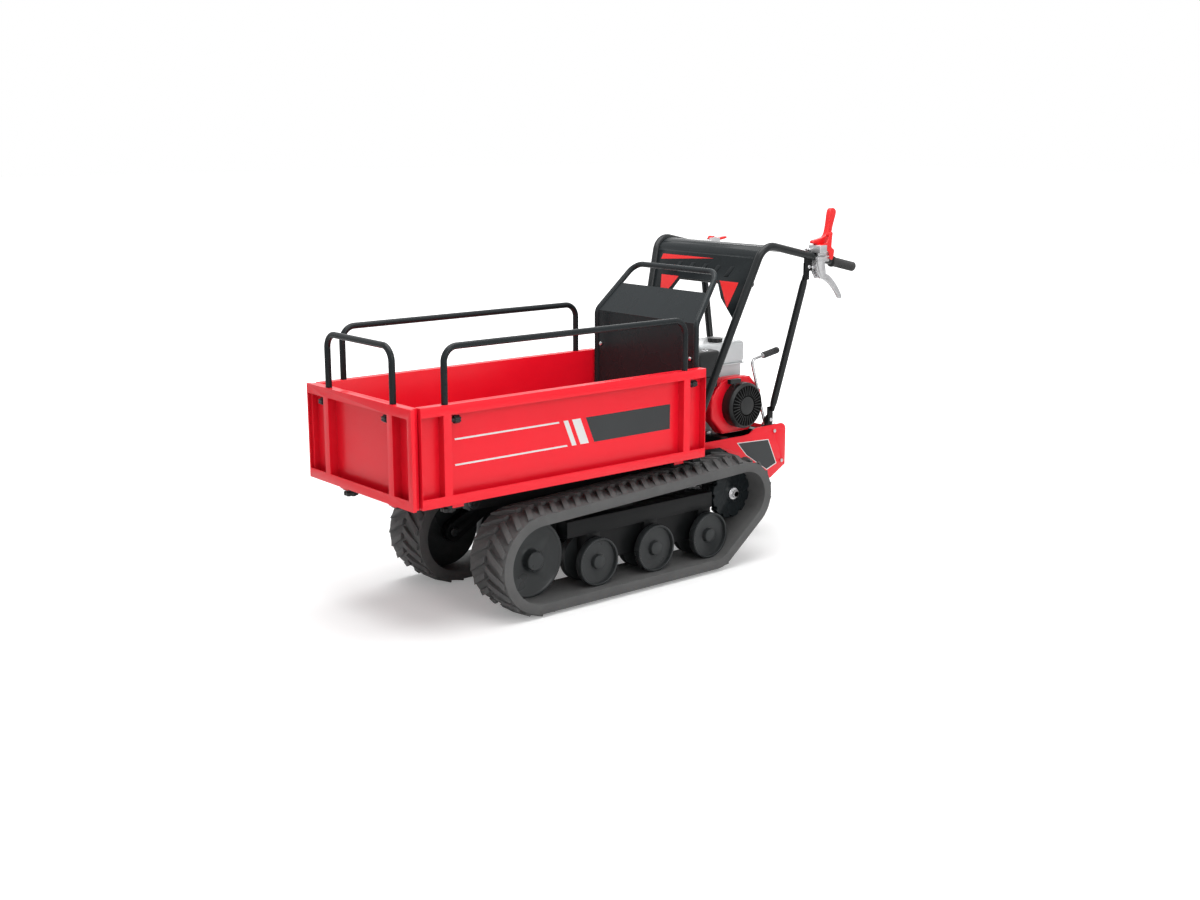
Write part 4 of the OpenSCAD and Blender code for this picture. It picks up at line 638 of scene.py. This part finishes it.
# console: red wedges and pressed ribs on the sloping sheet
consoleLook = {
    "corner": (-0.492, 0, 1.101), "slope": 18.78, "face": 0.002, "thick": 0.0004,
    "wedges": (((-0.215, -0.066), (-0.219, -0.086), (0.05, -0.066)),
               ((0.196, -0.142), (0.105, -0.142), (0.172, -0.235)),
               ((-0.196, -0.142), (-0.105, -0.142), (-0.172, -0.235))),
    "ribs": (-0.13, -0.065, 0.0, 0.065, 0.13), "ribFoot": (-0.012, 0.008), "ribLean": 0.022,
    "ribLow": -0.126, "ribTop": -0.088, "ribRise": 0.0022, "ribSoft": 0.002,
}
slope = Matrix.Rotation(math.radians(-consoleLook["slope"]), 4, "Y")
onSheet = Matrix(((0, 0, 1, consoleLook["face"]), (1, 0, 0, 0), (0, 1, 0, 0), (0, 0, 0, 1)))
onConsole = Matrix.Translation(consoleLook["corner"]) @ slope @ onSheet
wedges = gather([flatSheet(wedge, consoleLook["thick"]) for wedge in consoleLook["wedges"]])
bmesh.ops.transform(wedges, matrix=onConsole, verts=wedges.verts)
newPiece("consoleWedges", wedges, "chassis", "red_plastic")
ribs = []
for y in consoleLook["ribs"]:
    left, right = (y + out for out in consoleLook["ribFoot"])
    outline = leaning(left, right, consoleLook["ribLow"], consoleLook["ribTop"], consoleLook["ribLean"])
    rib = flatSheet(outline, consoleLook["ribRise"])
    raised = [e for e in rib.edges if any(v.co.z > consoleLook["ribRise"] / 2 for v in e.verts)]
    softBevel(rib, raised, consoleLook["ribSoft"], 3)
    ribs.append(rib)
ribs = gather(ribs)
bmesh.ops.transform(ribs, matrix=onConsole, verts=ribs.verts)
newPiece("consoleRibs", ribs, "chassis", "dark_paint")

# cowl: a dark panel with a pale edge on each side plate
cowlLook = {"face": 0.140, "thick": 0.0003, "proud": 1.6, "border": 1.056,
            "panel": ((-0.515, 0.383), (-0.668, 0.376), (-0.712, 0.285), (-0.664, 0.268), (-0.560, 0.335))}
panel, grow = cowlLook["panel"], cowlLook["border"]
midX, midZ = (sum(axis) / len(panel) for axis in zip(*panel))
edge = [(midX + (x - midX) * grow, midZ + (z - midZ) * grow) for x, z in panel]
for side, sign in bothSides:
    inside = flatSheet(panel, cowlLook["thick"] * cowlLook["proud"])
    border = flatSheet(edge, cowlLook["thick"])
    for label, bm, finish in (("Panel", inside, "stripeDark"), ("Border", border, "stripeWhite")):
        bmesh.ops.transform(bm, matrix=standing(0, sign * cowlLook["face"], 0, sign), verts=bm.verts)
        newPiece("cowl" + label + "_" + side, bm, "chassis", finish)
print("console and cowl dressed")

# fuel tank: two pressed halves with a rolled seam
tankLook = {"corner": 0.026, "lid": 0.014, "lowLid": 0.008, "inset": 0.009, "foot": 0.008,
            "seam": 0.004, "seamOut": 0.0045, "seamAt": 0.42, "seamSoft": 0.0015}
low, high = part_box("fuel_tank")
seamZ = low[2] + (high[2] - low[2]) * tankLook["seamAt"]
inset, out, half = tankLook["inset"], tankLook["seamOut"], tankLook["seam"] / 2
lower = roundedBox((low[0] + inset, low[1] + inset, low[2] + tankLook["foot"]),
                   (high[0] - inset, high[1] - inset, seamZ), tankLook["corner"] - inset, tankLook["lowLid"])
upper = roundedBox((low[0], low[1], seamZ), high, tankLook["corner"], tankLook["lid"])
seam = roundedBox((low[0] - out, low[1] - out, seamZ - half), (high[0] + out, high[1] + out, seamZ + half),
                  tankLook["corner"] + out, tankLook["seamSoft"], segments=5)
piece = newPiece("tank_pressed", gather([lower, upper, seam]), "chassis", "tank_paint")
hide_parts("fuel_tank")
print("tank pressed")

# handlebar and struts: full round tubes, the struts drawn in at their ends
tubeLook = {
    "bar": 0.0137, "bend": 0.06, "rise": 0.006, "low": (-0.255, 0.155), "corner": (-0.492, 0.266, 1.101),
    "end": (-0.952, 0.266, 0.9974),
    "strut": 0.0127, "foot": (-0.680, 0.1443, 0.485), "top": (-0.7131, 0.2587, 0.9785), "draw": 0.03,
    "strutEnd": ((0, 0), (0.62, 0), (0.7, 0.3), (0.93, 0.8), (1, 1.2)),  # shares of the radius and the draw
}
barLow = (*tubeLook["low"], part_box("handlebar")[0][2] + tubeLook["rise"])
for side, sign in bothSides:
    line = [onSide(point, sign) for point in (barLow, tubeLook["corner"], tubeLook["end"])]
    bar = tubeAlong(roundedPath(line, tubeLook["bend"], steps=16), tubeLook["bar"], ring=40)
    newPiece("handlebarTube_" + side, bar, "chassis", "tubePaint")
    foot, top = onSide(tubeLook["foot"], sign), onSide(tubeLook["top"], sign)
    row = [(tubeLook["strut"] * share, tubeLook["draw"] * rise) for share, rise in tubeLook["strutEnd"]]
    row += [(r, (top - foot).length - h) for r, h in reversed(row)]
    strut = turnedShape(row, foot, top - foot, steps=28)
    newPiece("strutTube_" + side, strut, "chassis", "tubePaint")
print("tubes rounded")

# gear lever: bright rod with a cross sleeve and a black hand grip
gearLook = {
    "foot": (-0.672, 0.120, 0.429), "top": (-0.594, 0.120, 0.675), "back": (-0.717, 0.120, 0.697),
    "rod": 0.0055, "rodStart": 0.008, "bend": 0.018,
    "eyeBore": 0.0072, "eye": 0.013, "eyeHalf": 0.0068, "eyeSoft": 0.0008,
    "collarIn": 0.008, "collar": ((0.0055, 0), (0.0085, 0.0005), (0.009, 0.0015), (0.009, 0.009),
                                  (0.0085, 0.01), (0.0055, 0.0105)),
    "grip": 0.012, "gripLength": 0.078, "gripIn": 0.0115, "gripBore": 0.0056,
    "gripStart": ((0.8, 0), (0.95, 0.0015), (1, 0.004)),
    "grooves": 6, "groovePitch": 0.009,
    "groove": ((0, 0.009), (-0.0008, 0.0102), (-0.0008, 0.0138), (0, 0.015)),
    "gripEnd": ((1, -0.004), (0.93, -0.001), (0.72, 0.0016), (0.35, 0.003), (0, 0.0034)),
}
foot, top, back = (Vector(gearLook[label]) for label in ("foot", "top", "back"))
along = (back - top).normalized()
rodFoot = foot + (top - foot).normalized() * gearLook["rodStart"]
rod = tubeAlong(roundedPath([rodFoot, top, back], gearLook["bend"]), gearLook["rod"])
eyeRow = sleeveRow(gearLook["eyeBore"], gearLook["eye"], -gearLook["eyeHalf"], gearLook["eyeHalf"],
                   gearLook["eyeSoft"])
eye = turnedShape(eyeRow, foot, (0, 1, 0), steps=36)
grip, length = gearLook["grip"], gearLook["gripLength"]
collar = turnedShape(gearLook["collar"], back - along * (length - gearLook["collarIn"]), along, steps=28)
piece = newPiece("gearLever_rod", gather([rod, eye, collar]), "gear_lever_body", "bright_steel")
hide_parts("gear_lever")
gripRow = [(gearLook["gripBore"], 0)] + [(grip * share, h) for share, h in gearLook["gripStart"]]
for k in range(gearLook["grooves"]):
    gripRow += [(grip + cut, h + k * gearLook["groovePitch"]) for cut, h in gearLook["groove"]]
gripRow += [(grip * share, length + h) for share, h in gearLook["gripEnd"]]
handGrip = turnedShape(gripRow, back - along * (length - gearLook["gripIn"]), along, steps=36)
newPiece("gearLever_grip", handGrip, "gear_lever_body", "grip_rubber")
print("gear lever bent")

# bright splined hub on each drive sprocket
hubLook = {"place": (-0.378, 0.2555, 0.244), "washer": 0.021, "thick": 0.0042, "soft": 0.001,
           "squares": 3, "spline": 0.0212, "length": 0.0162, "splineSoft": 0.0008,
           "bolts": 4, "boltRing": 0.0165, "boltLift": 0.004, "bolt": 0.0032}
x, y, z = hubLook["place"]
edge, thick, soft = hubLook["washer"], hubLook["thick"], hubLook["soft"]
washerRow = [(0, 0), (edge - soft, 0), (edge, soft), (edge, thick - soft), (edge - soft, thick), (0, thick)]
for side, sign in bothSides:
    outward = (0, sign, 0)
    parts = [turnedShape(washerRow, onSide((x, y, z), sign), outward, steps=40)]
    for k in range(hubLook["squares"]):
        star = cuboid((hubLook["spline"], hubLook["spline"], hubLook["length"]))
        softBevel(star, star.edges[:], hubLook["splineSoft"], 2)
        turn = Matrix.Rotation(math.radians(90 * k / hubLook["squares"]), 3, "Z")
        bmesh.ops.rotate(star, verts=star.verts, matrix=turn)
        parts.append(settle(star, onSide((x, y + hubLook["length"] / 2, z), sign), outward))
    for k in range(hubLook["bolts"]):
        a = 2 * math.pi * (k + 0.5) / hubLook["bolts"]
        out = (math.cos(a) * hubLook["boltRing"], hubLook["boltLift"], math.sin(a) * hubLook["boltRing"])
        at = onSide(shifted(hubLook["place"], out), sign)
        parts.append(boltHead(at, outward, hubLook["bolt"], washer=False))
    newPiece("splinedHub_" + side, gather(parts), "sprocket_" + side + "_body", "bright_steel")
print("hubs set")

# air cleaner: moulded cover over a base, with a lip between them and a round screw
airLook = {
    "corner": 0.014, "lid": 0.011, "topDrop": 0.006, "split": 0.036,
    "baseCorner": 0.0112, "baseLid": 0.003, "baseIn": 0.004, "baseFront": 0.006, "lap": 0.001,
    "lip": 0.0022, "lipDrop": 0.002, "lipOut": 0.001, "lipBack": 0.0002, "lipSoft": 0.0009,
    "screwDrop": 0.0065, "screw": ((0, 0.0085), (0.004, 0.0085), (0.0055, 0.0075), (0.0055, 0.0035),
                                   (0.011, 0.0028), (0.0125, 0.0015), (0.0125, 0)),
}
low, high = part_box("air_cleaner")
splitZ = low[2] + airLook["split"]
inset, out = airLook["baseIn"], airLook["lipOut"]
base = roundedBox((low[0] + inset, low[1], low[2]),
                  (high[0] - inset, high[1] - airLook["baseFront"], splitZ + airLook["lap"]),
                  airLook["baseCorner"], airLook["baseLid"], segments=5)
cover = roundedBox((low[0], low[1], splitZ), (high[0], high[1], high[2] - airLook["topDrop"]),
                   airLook["corner"], airLook["lid"])
lip = roundedBox((low[0] - out, low[1] - airLook["lipBack"], splitZ - airLook["lipDrop"]),
                 (high[0] + out, high[1] + out, splitZ + airLook["lip"]),
                 airLook["corner"], airLook["lipSoft"], segments=5)
piece = newPiece("airCleaner_moulded", gather([base, cover, lip]), "chassis", "black_plastic")
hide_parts("air_cleaner")
midX, midY, _ = middle(low, high)
screw = turnedShape(airLook["screw"], (midX, midY, high[2] - airLook["screwDrop"]), (0, 0, 1), steps=32)
newPiece("airCleaner_screw", screw, "chassis", "bright_steel")

# fan cover: round over the top, plain facets below, with a soft rim
coverLook = {"above": 0.50, "corner": 0.034, "cornerTurn": 0.35, "cornerRun": 0.02,
             "rim": 0.008, "rimTurn": 0.8, "rimNear": 0.0005}
cover = copyNode("fan_cover")
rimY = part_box("fan_cover")[1][1] - coverLook["rimNear"]
corners = [e for e in cover.edges if e.is_convex and e.calc_face_angle(0) > coverLook["cornerTurn"]
           and abs(e.verts[0].co.y - e.verts[1].co.y) > coverLook["cornerRun"]
           and e.verts[0].co.z > coverLook["above"]]
softBevel(cover, corners, coverLook["corner"], 7)
rim = [e for e in cover.edges if e.is_convex and e.calc_face_angle(0) > coverLook["rimTurn"]
       and all(v.co.y > rimY for v in e.verts)]
softBevel(cover, rim, coverLook["rim"], 5)
piece = newPiece("fanCover_round", cover, "chassis", "red_paint")
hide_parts("fan_cover")

# recoil starter: a plain raised boss and a ring of straight ribs over a near-black ring, painted shade
# standing in for the dark slots between the ribs
starterLook = {"centre": (-0.540, 0.520), "boss": 0.0335, "rise": 0.0016,
               "bossEdge": ((-0.004, 0.0016), (-0.0015, 0.001), (0, -0.0006)),
               "ribs": 32, "ribSpan": (0.037, 0.0705), "ribWide": 0.003, "ribRise": 0.0022, "ribSoft": 0.0007,
               "shadeRingIn": 0.006, "shadeRingOut": 0.001, "shadeRingEdge": 0.0015, "shadeRingRise": 0.0004}
starterX, starterZ = starterLook["centre"]
starterAt = (starterX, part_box("recoil_housing")[1][1], starterZ)
bossRow = [(0, starterLook["rise"])] + [(starterLook["boss"] + out, h) for out, h in starterLook["bossEdge"]]
parts = [turnedShape(bossRow, starterAt, (0, 1, 0), steps=56)]
inner, outer = starterLook["ribSpan"]
for k in range(starterLook["ribs"]):
    rib = cuboid((outer - inner, starterLook["ribWide"], starterLook["ribRise"] * 2))
    softBevel(rib, rib.edges[:], starterLook["ribSoft"], 2)
    bmesh.ops.translate(rib, verts=rib.verts, vec=((inner + outer) / 2, 0, 0))
    turn = Matrix.Rotation(2 * math.pi * k / starterLook["ribs"], 3, "Z")
    bmesh.ops.rotate(rib, verts=rib.verts, matrix=turn)
    parts.append(settle(rib, starterAt, (0, 1, 0)))
newPiece("starter_boss", gather(parts), "chassis", "starterGrey")
# near-black flat ring under the ribs: painted shade standing in for the shade in the slots between them
shadeRingRow = [(inner - starterLook["shadeRingIn"], starterLook["shadeRingRise"]),
           (outer + starterLook["shadeRingOut"], starterLook["shadeRingRise"]),
           (outer + starterLook["shadeRingEdge"], -starterLook["shadeRingRise"])]
dishLevelAndShadeRing = turnedShape(shadeRingRow, starterAt, (0, 1, 0), steps=56)
newPiece("starter_well", dishLevelAndShadeRing, "chassis", "starterWell")
print("engine covers moulded")

# star knobs: six soft lobes round a domed head, on a neck with a bright washer
knobLook = {
    "lobes": 6, "lobe": 0.36, "core": 0.786, "round": 0.0018, "lobeShort": 0.001,
    "slideHead": (0.014, 0.003), "postHead": (0.022, 0.015),  # height of the head and of its neck
    "neckRow": ((0.0042, 0), (0.0075, 0), (0.008, 0.001)), "underRow": ((0.52, -0.002), (0.6, 0)),
    "coreLow": ((-0.001, 0.0004), (0, 0.0015)), "coreTop": ((0, -0.003), (-0.002, -0.0008)),
    "domeRow": ((0.6, 0), (0, 0.0004)),
    "washer": ((0.0042, 0), (0.0084, 0), (0.009, 0.0004), (0.009, 0.0014), (0.0084, 0.0018),
               (0.0042, 0.0018)),
}


def starKnob(at, axis, radius, height, neck):
    core, lobeRadius = radius * knobLook["core"], radius * knobLook["lobe"]
    row = [(r, h - neck) for r, h in knobLook["neckRow"]]
    row += [(radius * share, h) for share, h in knobLook["underRow"]]
    row += [(core + out, h) for out, h in knobLook["coreLow"]]
    row += [(core + out, height + h) for out, h in knobLook["coreTop"]]
    row += [(core * share, height + h) for share, h in knobLook["domeRow"]]
    parts = [turnedShape(row, at, axis, steps=36)]
    for k in range(knobLook["lobes"]):
        lobe = bmesh.new()
        bmesh.ops.create_cone(lobe, cap_ends=True, segments=20, radius1=lobeRadius, radius2=lobeRadius,
                              depth=height - knobLook["lobeShort"])
        softBevel(lobe, [e for e in lobe.edges if isLevel(e)], knobLook["round"], 3)
        a = 2 * math.pi * (k + 0.5) / knobLook["lobes"]
        out = radius - lobeRadius
        bmesh.ops.translate(lobe, verts=lobe.verts, vec=(out * math.cos(a), out * math.sin(a), height / 2))
        parts.append(settle(lobe, at, axis))
    return gather(parts)


for name in [n for n in nodes if "knob" in n]:
    low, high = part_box(name)
    run = 2 if name.startswith("slide") else 1 if "front_" in name else 0  # the axis it is screwed along
    across = 1 if run == 0 else 0
    height, neck = knobLook["slideHead"] if run == 2 else knobLook["postHead"]
    axis = [-1 if i == run else 0 for i in range(3)]
    spot = middle(low, high)
    spot[run] = low[run] + height
    knob = starKnob(spot, axis, (high[across] - low[across]) / 2, height, neck)
    piece = newPiece(name + "_star", knob, name + "_body", "black_plastic")
    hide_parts(name)
    washer = turnedShape(knobLook["washer"], Vector(spot) - Vector(axis) * neck, axis, steps=28)
    newPiece(name + "_washer", washer, name + "_body", "bright_steel")
print("knobs lobed")

# hand levers: soft cast arms on a turned hub, outlines in mm from the pivot
leverLook = {
    "pivot": (-0.762, 0.266, 1.0761), "hub": 0.011, "bore": 0.0042, "hubSoft": 0.001, "soft": 3,
    "clutchHub": (-0.0095, 0.028), "throttleHub": (-0.0095, 0.012), "steerHub": (-0.006, 0.006),
    "clutchArm": {"span": (-0.0095, 0.009), "edge": 0.0035, "outline": (
        (27, 26), (33, 19), (30, 14), (16, 14), (8, 4), (6, -8), (0, -10), (-12, -6), (-30, 3), (-46, 18),
        (-58, 31), (-63, 42), (-70, 74), (-79, 98), (-86, 119), (-82, 130), (-70, 136), (-57, 133),
        (-50, 121), (-46, 86), (-39, 52), (-30, 36), (0, 30))},
    "clutchTail": {"span": (0.023, 0.028), "edge": 0.0015, "outline": (
        (0, 11), (-20, 16), (-30, 34), (-38, 54), (-50, 52), (-46, 34), (-45, 14), (-44, -2), (-57, -7),
        (-60, -15), (-54, -42), (-47, -46), (-38, -42), (-35, -28), (-32, -13), (0, -11))},
    "clutchWeb": {"span": (0.006, 0.026), "edge": 0.001, "outline": (
        (-35, 37), (-46, 37), (-49, 52), (-39, 53))},
    "throttleArm": {"span": (-0.0095, 0.009), "edge": 0.003, "outline": (
        (6, 8), (-20, 5), (-50, 4), (-66, 7), (-74, 5), (-72, -2), (-45, -6), (-20, -9), (0, -10), (8, -4))},
    "steerAt": (-14, -98),
    "steerArm": {"span": (-0.006, 0.006), "edge": 0.0025, "outline": (
        (12, 0), (6, 11), (-38, 4), (-75, -24), (-104, -57), (-121, -86), (-114, -93), (-103, -90),
        (-87, -68), (-62, -42), (-32, -21), (0, -11))},
}


def softOutline(points):
    pts = [Vector(p) * mm for p in points]
    for _ in range(leverLook["soft"]):  # each round cuts the corners at a quarter of their sides
        pairs = zip(pts, pts[1:] + pts[:1])
        pts = [q for a, b in pairs for q in (a * 0.75 + b * 0.25, a * 0.25 + b * 0.75)]
    return pts


def castArm(arm, sign, at=(0, 0)):
    near, far = arm["span"]
    bm = flatSheet(softOutline(arm["outline"]), far - near)
    softBevel(bm, [e for e in bm.edges if isLevel(e)], arm["edge"], 4)
    x, y, z = leverLook["pivot"]
    stand = standing(x + at[0] * mm, sign * (y + near), z + at[1] * mm, sign)
    bmesh.ops.transform(bm, matrix=stand, verts=bm.verts)
    return bm


def leverHub(span, sign, at=(0, 0)):
    pivot = Vector(leverLook["pivot"]) + Vector((at[0], 0, at[1])) * mm
    row = sleeveRow(leverLook["bore"], leverLook["hub"], *span, leverLook["hubSoft"])
    return turnedShape(row, onSide(pivot, sign), (0, sign, 0), steps=40)


parts = [castArm(leverLook[label], 1) for label in ("clutchArm", "clutchTail", "clutchWeb")]
clutch = gather(parts + [leverHub(leverLook["clutchHub"], 1)])
piece = newPiece("clutchLever_cast", clutch, bodyOf["clutch_lever"], "red_plastic")
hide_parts("clutch_lever")
throttle = gather([castArm(leverLook["throttleArm"], -1), leverHub(leverLook["throttleHub"], -1)])
piece = newPiece("throttleLever_cast", throttle, bodyOf["throttle_lever"], "red_plastic")
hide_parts("throttle_lever")
for side, sign in bothSides:
    name, at = "steering_lever_" + side, leverLook["steerAt"]
    steering = gather([castArm(leverLook["steerArm"], sign, at), leverHub(leverLook["steerHub"], sign, at)])
    piece = newPiece("steeringLever_" + side, steering, bodyOf[name], "cast_aluminium")
    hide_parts(name)
print("hand levers cast")

# lever brackets: a split clamp round the tube, a thumb housing and a ribbed fork, in mm from the tube
castLook = {
    "centre": (-0.762, 0.266, 1.0401), "edge": 0.0022, "lid": 0.00176, "forkEdge": 0.0018, "drop": 0.45,
    "blocks": (((-42, -16, -14), (16, 21.5, 3)), ((-24, -16, 4.5), (16, 21.5, 10)),
               ((-42, 10.5, 4.5), (16, 21.5, 21)), ((2, -13, -58), (12, 13, -12))),
    "ribs": ((9, -12, -30), (9, -12, -40), (9, -12, -50)), "rib": (7, 24, 5.5),
    "housing": (((13, -20, 18), (23, 34, 45)), ((-14, 29.5, 18), (23, 34.5, 45))),
}
brackets = copyNode("lever_brackets")
for v in brackets.verts:
    over = v.co.z - leverLook["pivot"][2]
    if v.co.y < 0 and over > 0:
        v.co.z -= over * castLook["drop"]  # the right one sits lower, behind the console
easeEdges(brackets, castLook["forkEdge"])
piece = newPiece("leverBrackets_fork", brackets, "chassis", "cast_aluminium")
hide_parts("lever_brackets")
centre = Vector(castLook["centre"])
for side, sign in bothSides:
    boxes = list(castLook["blocks"]) + [(rib, shifted(rib, castLook["rib"])) for rib in castLook["ribs"]]
    if sign > 0:
        boxes += castLook["housing"]
    cast = gather([roundedBox(centre + Vector(low) * mm, centre + Vector(high) * mm, castLook["edge"],
                              castLook["lid"], segments=3) for low, high in boxes])
    bmesh.ops.transform(cast, matrix=Matrix.Diagonal((1, sign, 1, 1)), verts=cast.verts)
    newPiece("bracketCast_" + side, cast, "chassis", "cast_aluminium")
print("brackets cast")

# barrel adjusters and clamp screws on the lever brackets, placed from the same centre
adjusterLook = {
    "tilt": (0.977, 0, 0.213), "barrels": ((0.021, -0.016, 0.026), (0.010, 0, -0.036)),
    "barrelRow": ((0, 0), (0.0052, 0), (0.0058, 0.0008), (0.0058, 0.006), (0.0046, 0.0068), (0.0046, 0.0105),
                  (0.0064, 0.0112), (0.0064, 0.0165), (0.0056, 0.0175), (0.0032, 0.018), (0.0032, 0.026),
                  (0.0026, 0.0266), (0, 0.0266)),
    "screw": 0.0026, "screws": ((0.007, 0.0205, -0.006), (-0.034, 0.0205, -0.006),
                                (0.007, 0.0205, 0.013), (-0.034, 0.0205, 0.013)),
}
for side, sign in bothSides:
    parts = []
    for by in adjusterLook["barrels"]:
        at = onSide(shifted(castLook["centre"], by), sign)
        parts.append(turnedShape(adjusterLook["barrelRow"], at, adjusterLook["tilt"], steps=24))
    for by in adjusterLook["screws"]:
        at = onSide(shifted(castLook["centre"], by), sign)
        parts.append(boltHead(at, (0, sign, 0), adjusterLook["screw"]))
    newPiece("adjusters_" + side, gather(parts), "chassis", "bright_steel")
print("adjusters set")

# control rods, their bolts and return springs over the gearbox
linkLook = {
    "rod": 0.004, "bend": 0.02, "spring": 0.0072, "wire": 0.0013, "turns": 14, "perTurn": 10,
    "rodPath": ((-0.30, 0.150, 0.262), (-0.245, 0.150, 0.300), (-0.05, 0.1485, 0.300),
                (-0.02, 0.1485, 0.318)),
    "springEnds": ((-0.325, 0.150, 0.255), (-0.255, 0.150, 0.27)),
    "bolts": (((-0.30, 0.150, 0.262), 0.008), ((-0.245, 0.153, 0.300), 0.006)),
}


def springShape(start, end):
    way = (end - start).normalized()
    out = way.orthogonal().normalized()
    other = way.cross(out)
    steps = linkLook["turns"] * linkLook["perTurn"]
    path = []
    for k in range(steps + 1):
        a = 2 * math.pi * k / linkLook["perTurn"]
        ring = out * linkLook["spring"] * math.cos(a) + other * linkLook["spring"] * math.sin(a)
        path.append(start + (end - start) * (k / steps) + ring)
    return tubeAlong(path, linkLook["wire"], ring=6)


for side, sign in bothSides:
    path = roundedPath([onSide(point, sign) for point in linkLook["rodPath"]], linkLook["bend"])
    parts = [tubeAlong(path, linkLook["rod"], ring=14)]
    parts.append(springShape(*[onSide(point, sign) for point in linkLook["springEnds"]]))
    parts += [boltHead(onSide(point, sign), (0, sign, 0), size) for point, size in linkLook["bolts"]]
    newPiece("controlRods_" + side, gather(parts), "chassis", "bright_steel")
print("control rods hung")

print("finishing")
